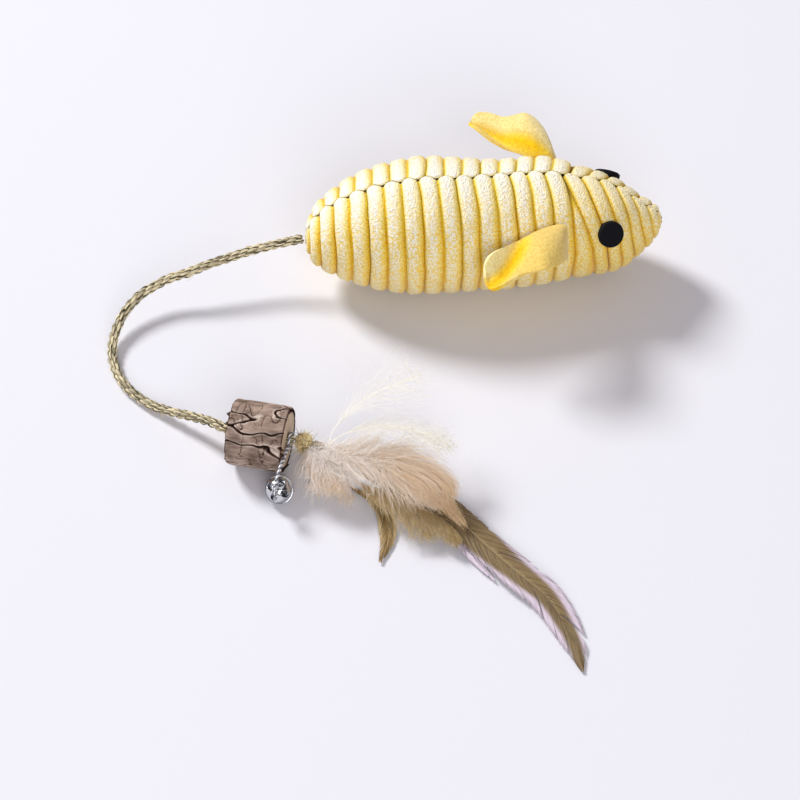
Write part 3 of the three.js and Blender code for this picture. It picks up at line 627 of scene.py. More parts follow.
# The height of the axis, in radii, at shares of the length: the toy lies on its belly and its chin.
axis_shares = [
    [0, 0.79], [0.05, 0.87], [0.12, 0.93], [0.22, 0.965], [0.34, 0.977], [0.45, 0.96], [0.55, 0.925],
    [0.66, 0.91], [0.8, 0.895], [0.88, 0.84], [0.95, 0.85], [1, 0.905],
]
outline = [[TAIL_END + along * BODY_LENGTH, out * BODY_RADIUS] for along, out in outline_shares]
meridian = evenly(smooth_line(outline, 60), 2000)
meridian_length = line_length(meridian)
meridian_ahead = unit(np.gradient(meridian, axis=0))
meridian_places = np.linspace(0, 1, len(meridian))
WALE_PITCH = 5.6
wale_count = round(meridian_length / WALE_PITCH)


def body_point(share, angle, inset):
    """A point under the crests of the wales. The angle goes from the back round to the left side."""
    x, radius, ahead_x, ahead_out = (np.interp(share, meridian_places, column)
                                     for column in (*meridian.T, *meridian_ahead.T))
    x = x + ahead_out * inset
    radius = np.maximum(radius - ahead_x * inset, 0)
    axis = BODY_RADIUS * table(axis_shares, (x - TAIL_END) / BODY_LENGTH)
    return np.stack([x, radius * np.sin(angle), axis + radius * np.cos(angle)], -1), radius


def share_at(x):
    """The share of the meridian that lies at a place along the body."""
    return float(np.interp(x, meridian[:, 0], meridian_places))


print("wales to a half:", wale_count, "meridian, mm:", round(meridian_length, 1))

# %% Where the wales run, and how deep their grooves are
EAR_ALONG_SHARE = 0.713
DART_GAPE = 6.6
DART_TOP_SHARE = 0.05
DART_CLOSED = 0.36
WALE_DEPTH = 1.6
CREST_POWER = 3.4
SEAM_ROUND = 0.65
SEAM_CROWDING = 0.07
# How far, in mm, the flank of a wale runs ahead of its back, at shares of the meridian.
lean_shares = [[0, 0], [0.12, 0.2], [0.45, 1.5], [0.64, 2.2], [0.74, 3.4], [0.88, 2.8], [1, 0]]
dart_share = share_at(TAIL_END + EAR_ALONG_SHARE * BODY_LENGTH)


def wale_grid(u, v, phase):
    """Places on one half. u runs from tail to nose, v from the back seam to the belly seam.

    Returns the share of the meridian, the angle, the groove's depth as a share, the radius, and the
    place across a wale, from -1 to 1."""
    angle = math.pi * (v - SEAM_CROWDING * np.sin(FULL_TURN * v))
    lower = np.sin(np.minimum(0.75 * angle, math.pi / 2))**2
    dart_wale = round(dart_share * wale_count - phase)
    dart_at = (dart_wale + phase) / wale_count
    gape = DART_GAPE * (DART_TOP_SHARE + (1 - DART_TOP_SHARE) * lower) / meridian_length
    wale = u * (wale_count + 1) - phase
    past = (wale - 1 + phase) / wale_count
    share = np.where(wale <= dart_wale, (wale + phase) / wale_count, dart_at + (wale - dart_wale) * gape)
    share = np.where(wale > dart_wale + 1, past + (1 - past) / (1 - dart_at) * gape, share)
    in_dart = (wale > dart_wale) & (wale < dart_wale + 1)
    share = share + table(lean_shares, share) / meridian_length * (1 - np.exp(-angle / 0.5))
    _, radius = body_point(share, angle, 0)
    to_seam = radius * np.minimum(angle, math.pi - angle)
    across = 2 * (wale - np.floor(wale)) - 1
    end = np.clip(1 - to_seam / SEAM_ROUND, 0, 1)
    drop = 1 - np.sqrt(np.maximum(1 - np.abs(across)**CREST_POWER - 0.55 * end**2.5, 0))
    drop += (1 - drop) * np.where(in_dart, np.clip(1.1 - lower / DART_CLOSED, 0, 1), 0)
    room = np.minimum(1, radius / (4 * WALE_DEPTH))
    return share, angle, drop * room, radius, across


# %% How the body swells and its seam wanders
SHOULDER = 2.6
SNOUT = 1.2
PILE_LIFT = 0.16
LUMP_LIFT = 0.22
SEAM_GAP = 0.06
SEAM_WAVE = 0.5
SEAM_SHIFT = 0.4
# How far the back is turned to the far side, in radians, at shares of the meridian.
turn_shares = [[0, 0], [0.42, 0], [0.52, 0.1], [0.6, 0.18], [0.7, 0.24], [0.83, 0.25], [0.91, 0.07], [1, 0]]


def swell(places, side, share, angle, drop):
    """How far each place stands out: the pile, soft lumps, a far shoulder and a narrower snout."""
    pile = np.array([noise.noise(Vector(p) * 1.05) + 0.6 * noise.noise(Vector(p) * 2.3) for p in places])
    lump = np.array([noise.noise(Vector(p) * 0.16 + Vector((side, 0, 0))) for p in places])
    form = (SHOULDER * np.exp(-((share - 0.67) / 0.085)**2 - ((side * angle - 0.55) / 0.55)**2)
            - SNOUT * np.exp(-((share - 0.91) / 0.05)**2))
    return PILE_LIFT * pile * (1 - 0.6 * drop) + LUMP_LIFT * lump + form


def seam_line(share):
    """How far the back seam wanders to the left, as the crests of one half push into the other's."""
    turn = FULL_TURN * share * wale_count
    return SEAM_WAVE * (np.cos(turn - math.pi) - np.cos(turn - math.pi - FULL_TURN * SEAM_SHIFT)) / 2


def turn_seam(places, share, angle):
    """Turns the back about the body's axis, so that the seam goes over to the far side."""
    axis = BODY_RADIUS * table(axis_shares, (places[:, 0] - TAIL_END) / BODY_LENGTH)
    turn = table(turn_shares, share) * (1 + np.cos(angle)) / 2
    y, z = places[:, 1].copy(), places[:, 2] - axis
    places[:, 1] = y * np.cos(turn) + z * np.sin(turn)
    places[:, 2] = axis + z * np.cos(turn) - y * np.sin(turn)


# %% Wrap a grid into one corduroy half
WALE_COLUMNS = 14
SEAM_ROWS = 124
CLOTH = 1.3
TAIL_OPENING = 0.35
NOSE_OPENING = 0.15
MIDDLE_HEIGHT = BODY_RADIUS * 0.93
CALM_RADIUS = 6
SEAM_CALM_RADIUS = 8
SEAM_REACH = 2.2
DRIFT = 0.4


def ribbed_half(name, side, phase):
    """One half of the cloth. side is 1 on the left, and phase sets its wales back by part of a wale."""
    columns = WALE_COLUMNS * (wale_count + 1)
    bpy.ops.mesh.primitive_grid_add(x_subdivisions=columns, y_subdivisions=SEAM_ROWS, size=2)
    half = bpy.context.object
    half.name = name
    u, v = grid_shares(half)
    first = share_at(TAIL_END + TAIL_OPENING) * wale_count / (wale_count + 1)
    last = 1 - NOSE_OPENING / meridian_length
    share, angle, drop, radius, across = wale_grid(first + (last - first) * u, v, phase)
    places, _ = body_point(share, side * angle, drop * WALE_DEPTH)
    middle = np.column_stack([places[:, 0], np.zeros(len(places)), np.full(len(places), MIDDLE_HEIGHT)])
    out = unit(places - middle)
    calm = np.minimum(1, radius / CALM_RADIUS)
    places += out * (swell(places, side, share, angle, drop) * calm)[:, None]
    places[:, 1] = side * np.maximum(side * places[:, 1], SEAM_GAP)
    near_seam = np.exp(-(radius * angle / SEAM_REACH)**2)
    places[:, 1] += seam_line(share) * near_seam * np.minimum(1, radius / SEAM_CALM_RADIUS)
    turn_seam(places, share, angle)
    places[:, 0] += [DRIFT * noise.noise(Vector(p) * 0.11 + Vector((0, 0, 40))) for p in places] * calm
    places[:, 2] = np.maximum(places[:, 2], 0)
    write_places(half, places)
    # 0 on the back, where the lamp falls, and 1 from part way down the side.
    off_lit_back = np.clip(angle / 0.9, 0, 1)
    head = np.clip((share - 0.66) / 0.1, 0, 1)
    # The groove's depth also sets a painted shade, which darkens the grooves beyond the roots' gold.
    set_mark(half.data, "groove", drop)
    # Painted shade: gold on the side of each wale that faces away from the lamp, less of it on the lit back.
    set_mark(half.data, "wale_side_shade", np.clip((across - 0.1) / 0.9, 0, 1) * (0.32 + 0.68 * off_lit_back))
    # Painted shade down the lower side, away from the lamp, and a darker gold towards the head.
    set_mark(half.data, "lower_side_shade_head_gold", np.clip(0.5 * head + 0.5 * np.clip((angle - 0.9) / 0.9, 0, 1), 0, 1))
    # Fewer gold specks on the back, where the lamp falls: painted light.
    set_mark(half.data, "specks_off_lit_back", 0.15 + 0.75 * off_lit_back)
    faces_out = sum(f.normal.y for f in half.data.polygons) * side
    apply_modifier(half, "SOLIDIFY", thickness=math.copysign(CLOTH, faces_out) * MM, offset=-1)
    bpy.ops.object.shade_smooth()
    bpy.ops.object.select_all(action="DESELECT")
    print(name, len(half.data.polygons), "faces")
    return half


body_left = ribbed_half("corduroy_left", 1, SEAM_SHIFT)
body_right = ribbed_half("corduroy_right", -1, 0.0)

# %% [markdown]
# ## Corduroy
# The pile is cream where the light falls on its tips, and gold where one sees down to its roots. One
# could paint that as an image, but the wales' own marks already say where the grooves are, which side
# of a wale faces away from the lamp and how far round the body it lies. Each mark picks a tint, and the
# tints are multiplied. The grooves are painted darker than the roots' gold, as shade. The side of each
# wale away from the lamp and the lower side are painted as shade, the head a darker gold, and the lit
# back gets fewer gold specks, as painted light. Small cells of a Voronoi texture stand for the single
# loops of the pile.

# %% Colours that follow a mark
def mark_ramp(tree, word, stops):
    """A colour that runs with a mark of the mesh."""
    attribute = tree.nodes.new("ShaderNodeAttribute")
    attribute.attribute_name = word
    return color_ramp(tree, attribute.outputs["Fac"], stops)


def multiply(tree, first, second, factor):
    """One colour shaded by another. The factor is a number or a mark of the mesh."""
    _, mix_factor, base, tint, mixed = color_mix(tree, "MULTIPLY")
    if isinstance(factor, str):
        attribute = tree.nodes.new("ShaderNodeAttribute")
        attribute.attribute_name = factor
        tree.links.new(attribute.outputs["Fac"], mix_factor)
    else:
        mix_factor.default_value = factor
    tree.links.new(first, base)
    tree.links.new(second, tint)
    return mixed


# %% Corduroy: cream crests, gold roots, painted shade in the grooves and away from the lamp
LOOP_SCALE = 1600
LOOP_LIFT = 0.35
NO_TINT = paint(255, 255, 255)
corduroy, corduroy_tree, corduroy_shader = new_material(
    "corduroy_cloth", Roughness=1, Sheen_Weight=0.3, Sheen_Roughness=0.5, Specular_IOR_Level=0.1)
# Cream on the crests, the pile roots' gold lower down, and painted shade in the deepest grooves.
root_gold_and_groove_shade = mark_ramp(corduroy_tree, "groove", (
    (0.0, paint(255, 253, 243)), (0.2, paint(255, 249, 212)), (0.5, paint(238, 211, 64)),
    (1.0, paint(138, 122, 10))))
# Painted shade on the side of each wale that faces away from the lamp.
wale_side_shade_color = mark_ramp(corduroy_tree, "wale_side_shade", (
    (0.0, NO_TINT), (0.45, paint(255, 240, 160)), (1.0, paint(238, 208, 64))))
# Painted shade on the lower side, and a darker gold on the head.
lower_side_shade_head_gold_color = mark_ramp(corduroy_tree, "lower_side_shade_head_gold", ((0.0, NO_TINT), (1.0, paint(240, 223, 150))))
with_wale_side_shade = multiply(corduroy_tree, root_gold_and_groove_shade, wale_side_shade_color, 0.95)
with_lower_side_shade = multiply(corduroy_tree, with_wale_side_shade, lower_side_shade_head_gold_color, 1)
loops = corduroy_tree.nodes.new("ShaderNodeTexVoronoi")
loops.inputs["Scale"].default_value = LOOP_SCALE
loop_place = corduroy_tree.nodes.new("ShaderNodeTexCoord")
corduroy_tree.links.new(loop_place.outputs["Object"], loops.inputs["Vector"])
loop_color = color_ramp(corduroy_tree, loops.outputs["Distance"], (
    (0.32, NO_TINT), (0.66, paint(246, 218, 122))))
# The gold specks are thinned on the lit back, as painted light.
looped = multiply(corduroy_tree, with_lower_side_shade, loop_color, "specks_off_lit_back")
corduroy_tree.links.new(looped, corduroy_shader.inputs["Base Color"])
loop_height = math_node(corduroy_tree, "SUBTRACT", 1, loops.outputs["Distance"])
bump_from(corduroy_tree, corduroy_shader, loop_height, LOOP_LIFT)
dress(body_left, corduroy, "mouse", "body_shell_left")
dress(body_right, corduroy, "mouse", "body_shell_right")

# %% [markdown]
# ## The stuffing
# White fibre fills the cloth. It isn't seen from outside, but the seams would gape without it. It is a
# sphere stretched to the lining, with soft lumps.

# %% Model the stuffing
FILL_INSET = 2.9
FILL_ENDS = [-0.62, 0.9]
ON_THE_AXIS = 99
bpy.ops.mesh.primitive_uv_sphere_add(segments=72, ring_count=80, radius=1)
fill = bpy.context.object
fill.name = "fibre_fill"
bpy.ops.object.mode_set(mode="EDIT")
bpy.ops.mesh.select_all(action="SELECT")
bpy.ops.transform.rotate(value=math.pi / 2, orient_axis="Y")
bpy.ops.object.mode_set(mode="OBJECT")
fill_places = read_places(fill)
fill_share = 0.5 + 0.5 * np.interp(fill_places[:, 0], [-1, 1], FILL_ENDS)
fill_angle = np.arctan2(fill_places[:, 1], fill_places[:, 2])
pinch = np.minimum(1, np.sqrt(np.maximum(1 - fill_places[:, 0]**8, 0)) * 1.2)
placed, _ = body_point(fill_share, fill_angle, FILL_INSET)
fill_axis, _ = body_point(fill_share, fill_angle, ON_THE_AXIS)
placed = fill_axis + (placed - fill_axis) * pinch[:, None]
lumps = np.array([noise.noise(Vector(p) * 0.35) for p in placed])
placed += (fill_axis - placed) * (0.05 * (1 + lumps))[:, None]
write_places(fill, placed)
bpy.ops.object.shade_smooth()
bpy.ops.object.select_all(action="DESELECT")
white_fibre = grained("white_fibre", paint(225, 222, 214), paint(255, 254, 250), 900, 0.4, Roughness=1)
dress(fill, white_fibre, "mouse", "stuffing")

# %% [markdown]
# ## Ears
# Each ear is one leaf of yellow felt, sewn on beside the dart, which arches over towards the tail. The
# far leaf rolls up along its outer edge, and the near one sinks to a hollow towards its tip. The felt
# is thick and soft, so a bent sheet is enough, and no cloth needs to be simulated. A leaf was made as
# a grid whose rows are the sections of the ear, each a smooth curve from the inner edge to the outer
# one. A mark keeps where it rolls or sinks, and there the felt is painted a deeper gold as shade. The
# same mark paints the far leaf and the near tip paler, as lit.

# %% Ear sections
EAR_LENGTH = 26.4
FELT = 1.1
EAR_CLEAR = 0.3
EAR_ROUNDING = 0.25
ROLL_LIFT = 1.5
VALLEY_DROP = 0.9
SOFT_LIFT = 0.18
# The far leaf's base tone is lower than the near one's, which paints it paler, as lit.
FAR_LEAF_LIT_TONE = 0.14
NEAR_TONE = 0.25
ear_root_angles = [math.radians(47), math.radians(82)]
# Rows of [back, inner edge across and up, outer edge across and up, bow], in ear lengths from the root.
ear_sections = [
    [0, 0, 0, 0, 0, 0.03], [0.035, 0, 0, 0.19, 0.2, 0.06], [0.1, 0.01, 0, 0.385, 0.345, 0.075],
    [0.21, 0.045, 0, 0.53, 0.425, 0.09], [0.33, 0.1, 0.005, 0.6, 0.46, 0.09],
    [0.45, 0.17, 0.01, 0.6, 0.43, 0.06], [0.59, 0.25, 0.015, 0.61, 0.4, -0.02],
    [0.74, 0.35, 0.04, 0.7, 0.385, -0.06], [0.88, 0.46, 0.09, 0.735, 0.35, -0.07],
    [0.96, 0.53, 0.115, 0.7, 0.3, -0.06], [1, 0.57, 0.09, 0.63, 0.33, -0.03],
]
ear_rows = evenly(smooth_line(ear_sections, 16), 81)
ear_root_x = TAIL_END + EAR_ALONG_SHARE * BODY_LENGTH
_, ear_root_radius = body_point(np.array([dart_share]), np.array([0.0]), 0)
ear_root_radius = float(ear_root_radius[0]) + EAR_CLEAR
ear_root_axis = BODY_RADIUS * float(table(axis_shares, [EAR_ALONG_SHARE])[0])
ear_roots = [np.array([ear_root_radius * math.sin(a), ear_root_axis + ear_root_radius * math.cos(a)])
             for a in ear_root_angles]


# %% Model the ears
EAR_COLUMNS = 41


def ear_leaf(name, side):
    """One leaf of felt: rolled up on the far side (side 1), hollow on the near side (side -1)."""
    rows = len(ear_rows)
    bpy.ops.mesh.primitive_grid_add(x_subdivisions=rows - 1, y_subdivisions=EAR_COLUMNS - 1, size=2)
    leaf = bpy.context.object
    leaf.name = name
    u, v = grid_shares(leaf)
    section = ear_rows[np.rint(u * (rows - 1)).astype(int)]
    inner = ear_roots[0] + section[:, 1:3] * EAR_LENGTH
    outer = ear_roots[1] + section[:, 3:5] * EAR_LENGTH
    chord = outer - inner
    rounding = np.clip((u - 0.84) / 0.16, 0, 1)
    v = 0.5 + (v - 0.5) * np.sqrt(1 - 0.72 * rounding**2)
    out = unit(np.column_stack([-chord[:, 1], chord[:, 0]]))
    bow = section[:, 5] * EAR_LENGTH * (1 - (2 * v - 1)**2)
    place = inner + chord * v[:, None] + out * (bow + FELT * 0.5)[:, None]
    places = np.column_stack([ear_root_x - section[:, 0] * EAR_LENGTH, side * place[:, 0], place[:, 1]])
    soft = np.array([noise.noise(Vector(p) * 0.25) + 0.3 * noise.noise(Vector(p) * 1.3) for p in places])
    places[:, 2] += SOFT_LIFT * soft
    if side > 0:
        # The far leaf's rolled band is painted gold as shade; the rest of it keeps the paler, lit tone.
        roll = np.clip((u - 0.18) / 0.25, 0, 1) * np.exp(-((v - 0.07 - 0.3 * u) / (0.1 + 0.14 * u))**2)
        places[:, 2] += ROLL_LIFT * roll + 0.8 * np.clip((u - 0.6) / 0.4, 0, 1)
        places[:, 1] -= 0.5 * roll
        hollow = FAR_LEAF_LIT_TONE + (1 - FAR_LEAF_LIT_TONE) * roll
    else:
        # The near leaf's valley is painted gold as shade, and its tip is painted pale, as lit.
        valley = np.clip((u - 0.52) / 0.12, 0, 1) * np.exp(-((v - 0.56 - 2.1 * (u - 0.74)) / 0.26)**2)
        places[:, 2] -= VALLEY_DROP * valley
        valley_shade = np.clip(1.3 * valley, 0, 1)
        lit_tip = np.clip((u - 0.66) / 0.16, 0, 1)
        hollow = NEAR_TONE + (1 - NEAR_TONE) * valley_shade - NEAR_TONE * lit_tip * (1 - valley_shade)
    set_mark(leaf.data, "hollow", hollow)
    write_places(leaf, places)
    bpy.ops.object.mode_set(mode="EDIT")
    bpy.ops.mesh.select_all(action="SELECT")
    bpy.ops.mesh.normals_make_consistent(inside=False)
    bpy.ops.object.mode_set(mode="OBJECT")
    apply_modifier(leaf, "SOLIDIFY", thickness=FELT * MM, offset=0)
    apply_modifier(leaf, "BEVEL", width=EAR_ROUNDING * MM, segments=2, limit_method="ANGLE")
    bpy.ops.object.shade_smooth()
    bpy.ops.object.select_all(action="DESELECT")
    print(name, len(leaf.data.polygons), "faces")
    return leaf


ear_left = ear_leaf("ear_left_felt", 1)
ear_right = ear_leaf("ear_right_felt", -1)

# %% Yellow felt, with painted shade in its folds and painted light on the far leaf and the near tip
felt_cloth, felt_tree, felt_shader = new_material("yellow_felt", Roughness=0.95, Sheen_Weight=0.3,
                                                  Specular_IOR_Level=0.1)
# Pale for felt painted as lit, mid yellow for the felt itself, deep gold for painted shade in the folds.
felt_light_and_shade = mark_ramp(felt_tree, "hollow", (
    (0.0, paint(255, 246, 184)), (0.25, paint(237, 208, 114)), (0.6, paint(249, 215, 70)),
    (1.0, paint(248, 200, 14))))
felt_place = felt_tree.nodes.new("ShaderNodeTexCoord")
felt_noise = felt_tree.nodes.new("ShaderNodeTexNoise")
felt_noise.inputs["Scale"].default_value = 1300
felt_tree.links.new(felt_place.outputs["Object"], felt_noise.inputs["Vector"])
fleck_color = color_ramp(felt_tree, felt_noise.outputs["Fac"], ((0.35, paint(240, 224, 196)), (0.6, NO_TINT)))
mottled = multiply(felt_tree, felt_light_and_shade, fleck_color, 0.8)
felt_tree.links.new(mottled, felt_shader.inputs["Base Color"])
bump_from(felt_tree, felt_shader, felt_noise.outputs["Fac"], 0.35)
dress(ear_left, felt_cloth, "ear_left_leaf", "ear_left")
dress(ear_right, felt_cloth, "ear_right_leaf", "ear_right")

# %% [markdown]
# ## Eyes
# Two matt black discs are glued on, square to the slope of the head. Each is a short cylinder with a
# bevelled rim, because the light on the rim is all that shows its thickness.

# %% Model the eyes
EYE_RADIUS = 4.1
EYE_ANGLE = math.radians(56.5)
EYE_TILT = math.radians(15)
EYE_DEPTH = 2.4
EYE_RIM = 0.5
eye_black = grained("eye_black", paint(6, 5, 12), paint(16, 14, 24), 1400, 0.12, detail=2, Roughness=0.8,
                    Specular_IOR_Level=0.2)
for word, side, along in (("left", 1, 0.853), ("right", -1, 0.838)):
    bpy.ops.mesh.primitive_cylinder_add(vertices=72, radius=EYE_RADIUS * MM, depth=EYE_DEPTH * MM,
                                        end_fill_type="NGON")
    eye = bpy.context.object
    eye.name = f"eye_{word}_disc"
    eye_share = share_at(TAIL_END + along * BODY_LENGTH)
    seat, _ = body_point(np.array([eye_share]), np.array([side * EYE_ANGLE]), 0)
    way = Matrix.Rotation(-side * EYE_ANGLE, 4, "X") @ Matrix.Rotation(EYE_TILT, 4, "Y")
    eye.matrix_world = Matrix.Translation(Vector(seat[0]) * MM) @ way
    bpy.ops.object.transform_apply(location=True, rotation=True, scale=True)
    apply_modifier(eye, "BEVEL", width=EYE_RIM * MM, segments=4, limit_method="ANGLE")
    bpy.ops.object.shade_smooth()
    bpy.ops.object.select_all(action="DESELECT")
    dress(eye, eye_black, "mouse", f"eye_{word}")
print("eyes:", 2 * EYE_RADIUS, "mm across")

# %% [markdown]
# ## The branch bead
# The bead is a slice of branch with its bark on, bored and threaded on the rope. The bark was made as
# a grid wrapped into a ring. Long cracks and one branch scar are pressed into it, because bump alone
# would leave the bead's outline smooth, and their depth is kept as a mark for the colour, which paints
# shade into them. The pale wood shows at both ends.

# %% Place a piece by a matrix
def set_in(piece, place):
    """Moves a finished mesh from its own frame, in millimetres, into the shared one."""
    piece.matrix_world = Matrix.Scale(MM, 4) @ place @ Matrix.Scale(1 / MM, 4) @ piece.matrix_world
    bpy.ops.object.select_all(action="DESELECT")
    piece.select_set(True)
    bpy.context.view_layer.objects.active = piece
    bpy.ops.object.transform_apply(location=True, rotation=True, scale=True)
    bpy.ops.object.select_all(action="DESELECT")


BEAD_PLACE = Matrix.Translation(Vector(bead_origin)) @ Matrix.Rotation(BEAD_YAW, 4, "Z")

# %% Lay the bark out as a flat grid
BARK = 1.3
BARK_CHAMFER = 0.7
CRACK_DEPTH = 0.75
SCAR_AT = (4.2, math.radians(215))
bpy.ops.mesh.primitive_grid_add(x_subdivisions=120, y_subdivisions=360, size=2)
bark_ring = bpy.context.object
bark_ring.name = "bark_ring"
u, v = grid_shares(bark_ring)
ahead, turn = u * BEAD_LENGTH, v * FULL_TURN
ring_y, ring_z = np.sin(turn), np.cos(turn)


def bark_noise(along_scale, round_scale, shift):
    """Noise on the bark, with one scale along the bead and one round it."""
    return np.array([noise.noise(Vector((x * along_scale + shift, y * round_scale, z * round_scale)))
                     for x, y, z in zip(ahead, ring_y * BEAD_RADIUS, ring_z * BEAD_RADIUS)])


print("bark grid:", len(u), "places")

# %% Draw cracks, hair cracks and one branch scar
crack_lines = np.abs(bark_noise(0.045, 0.2, 0) + 0.14 * bark_noise(0.3, 0.6, 9))
cross_lines = np.abs(bark_noise(0.26, 0.1, 44) + 0.1 * bark_noise(0.5, 0.9, 19))
fine_lines = np.abs(bark_noise(0.16, 0.7, 30))
crack = np.clip(1.25 - crack_lines / 0.042, 0, 1) + 0.6 * np.clip(1 - cross_lines / 0.02, 0, 1)
hair_crack = np.clip(1 - fine_lines / 0.05, 0, 1) * 0.22
pale_rim = np.exp(-((crack_lines - 0.09) / 0.028)**2)
round_scar = (np.mod(turn - SCAR_AT[1] + math.pi, FULL_TURN) - math.pi) * BEAD_RADIUS
from_scar = np.hypot(ahead - SCAR_AT[0], round_scar)
scar = np.exp(-(from_scar / 0.9)**2) * 0.8 - 0.4 * np.exp(-((from_scar - 1.9) / 0.6)**2)
edge = np.clip(1 - np.minimum(ahead, BEAD_LENGTH - ahead) / BARK_CHAMFER, 0, 1)
pressed = np.clip(crack + hair_crack + scar, -0.4, 1.1)
# The colour mark: painted shade in the cracks and the scar, paler beside the cracks, darker at both ends.
set_mark(bark_ring.data, "crack", np.clip(0.25 + 0.75 * pressed - 0.25 * pale_rim + 0.5 * edge**3, 0, 1))

# %% Press them in, close the ring and give it its thickness
rough = 0.2 * bark_noise(0.25, 0.6, 50) + 0.12 * bark_noise(0.9, 1.7, 70) + 0.3 * bark_noise(0.12, 0.16, 90)
bark_radius = BEAD_RADIUS - 0.15 - CRACK_DEPTH * pressed + rough - 0.5 * edge**2
bark_radius = np.minimum(bark_radius, BEAD_RADIUS)
write_places(bark_ring, np.column_stack([ahead, bark_radius * ring_y, bark_radius * ring_z]))
bpy.ops.object.mode_set(mode="EDIT")
bpy.ops.mesh.select_all(action="SELECT")
bpy.ops.mesh.remove_doubles(threshold=0.001 * MM)
bpy.ops.mesh.normals_make_consistent(inside=False)
bpy.ops.object.mode_set(mode="OBJECT")
outward = sum(f.normal.dot(Vector((0, f.center.y, f.center.z))) for f in bark_ring.data.polygons)
apply_modifier(bark_ring, "SOLIDIFY", thickness=math.copysign(BARK, outward) * MM, offset=-1)
bpy.ops.object.shade_smooth()
set_in(bark_ring, BEAD_PLACE)

# %% Bark material: grey-brown plates, painted shade in the cracks, paler beside them, darker at the ends
rough_bark, bark_tree, bark_shader = new_material("rough_bark", Roughness=0.95, Specular_IOR_Level=0.15)
# Painted shade: the deeper a place is pressed in, the darker it is painted.
crack_shade_color = mark_ramp(bark_tree, "crack", (
    (0.0, paint(230, 216, 204)), (0.25, paint(186, 164, 150)), (0.5, paint(104, 80, 66)),
    (1.0, paint(34, 22, 20))))
bark_grain = place_group(bark_tree, grain_tree, Low=paint(122, 110, 102), High=paint(255, 252, 250),
                         Scale=360, Detail=6, Sharpness=2.4, Stretch=(0.35, 1, 1))
bark_color = multiply(bark_tree, crack_shade_color, bark_grain.outputs["Color"], 0.9)
bark_tree.links.new(bark_color, bark_shader.inputs["Base Color"])
bump_from(bark_tree, bark_shader, bark_grain.outputs["Height"], 0.6)
dress(bark_ring, rough_bark, "bead", "bead_bark")

# %% Model the wood
WOOD_RADIUS = BEAD_RADIUS - BARK - CLEARANCE
BORE_RADIUS = 2.3
bpy.ops.mesh.primitive_cylinder_add(vertices=96, radius=WOOD_RADIUS * MM, depth=(BEAD_LENGTH - 0.2) * MM,
                                    end_fill_type="NOTHING")
bead_core = bpy.context.object
bead_core.name = "bead_core"
apply_modifier(bead_core, "SOLIDIFY", thickness=(WOOD_RADIUS - BORE_RADIUS) * MM, offset=-1)
apply_modifier(bead_core, "BEVEL", width=0.3 * MM, segments=2, limit_method="ANGLE")
bpy.ops.object.shade_smooth()
along_bead = Matrix.Translation((BEAD_LENGTH / 2, 0, 0)) @ Matrix.Rotation(math.pi / 2, 4, "Y")
set_in(bead_core, BEAD_PLACE @ along_bead)
end_grain = grained("end_grain", paint(178, 150, 124), paint(222, 202, 180), 500, 0.2, detail=4,
                    Roughness=0.8)
dress(bead_core, end_grain, "bead", "bead_wood")

# %% [markdown]
# ## The bell and its silver cord
# The bell is two pressed cups with a raised band where they meet. The crown has four leaf-shaped
# windows and a wire ring. The cord is two twisted silver threads: a loop round the rope, a short
# drop, and a small loop through the ring.

# %% Join meshes and cut the windows
BELL_RADIUS = 4.1
BELL_WALL = 0.45
BELL_PLACE = (BEAD_PLACE @ Matrix.Translation((17.6, -14.2, BELL_RADIUS - BEAD_RADIUS))
              @ Matrix.Rotation(math.radians(41), 4, "X") @ Matrix.Rotation(math.radians(27), 4, "Z"))
WINDOWS = 4
WINDOW_RADIUS = 0.8
WINDOW_FROM_AXIS = 2.35
WINDOW_STRETCH = (1.45, 1.3, 1, 1)


def join_to(piece, added):
    """Joins a second mesh to a piece, which keeps its name."""
    bpy.ops.object.select_all(action="DESELECT")
    added.select_set(True)
    piece.select_set(True)
    bpy.context.view_layer.objects.active = piece
    bpy.ops.object.join()


def cut_windows(cup):
    """Cuts the leaf-shaped windows with one cylinder, which is turned from window to window."""
    bpy.ops.mesh.primitive_cylinder_add(vertices=32, radius=WINDOW_RADIUS * MM, depth=BELL_RADIUS * 2 * MM)
    cutter = bpy.context.object
    for window in range(WINDOWS):
        cutter.matrix_world = (Matrix.Rotation((window + 0.5) / WINDOWS * FULL_TURN, 4, "Z")
                               @ Matrix.Translation((WINDOW_FROM_AXIS * MM, 0, 5 * MM))
                               @ Matrix.Diagonal(WINDOW_STRETCH))
        apply_modifier(cup, "BOOLEAN", operation="DIFFERENCE", object=cutter)
    bpy.data.objects.remove(cutter)


# %% Model the cups
BAND_WIRE = 0.3


def bell_cup(name, way, windows):
    """One pressed cup: the crown goes up (way 1), the bowl down (way -1)."""
    bpy.ops.mesh.primitive_uv_sphere_add(segments=96, ring_count=64, radius=BELL_RADIUS * MM)
    cup = bpy.context.object
    cup.name = name
    bpy.ops.object.mode_set(mode="EDIT")
    bpy.ops.mesh.select_all(action="SELECT")
    bpy.ops.mesh.bisect(plane_co=(0, 0, way * 0.15 * MM), plane_no=(0, 0, way), clear_inner=True)
    bpy.ops.object.mode_set(mode="OBJECT")
    apply_modifier(cup, "SOLIDIFY", thickness=BELL_WALL * MM, offset=-1)
    if windows:
        cut_windows(cup)
    bpy.ops.mesh.primitive_torus_add(major_radius=(BELL_RADIUS - 0.05) * MM, minor_radius=BAND_WIRE * MM,
                                     major_segments=96, minor_segments=16, location=(0, 0, way * 0.5 * MM))
    join_to(cup, bpy.context.object)
    bpy.ops.object.shade_smooth()
    set_in(cup, BELL_PLACE)
    print(name, len(cup.data.polygons), "faces")
    return cup


bell_crown = bell_cup("bell_crown", 1, True)
bell_bowl = bell_cup("bell_bowl", -1, False)

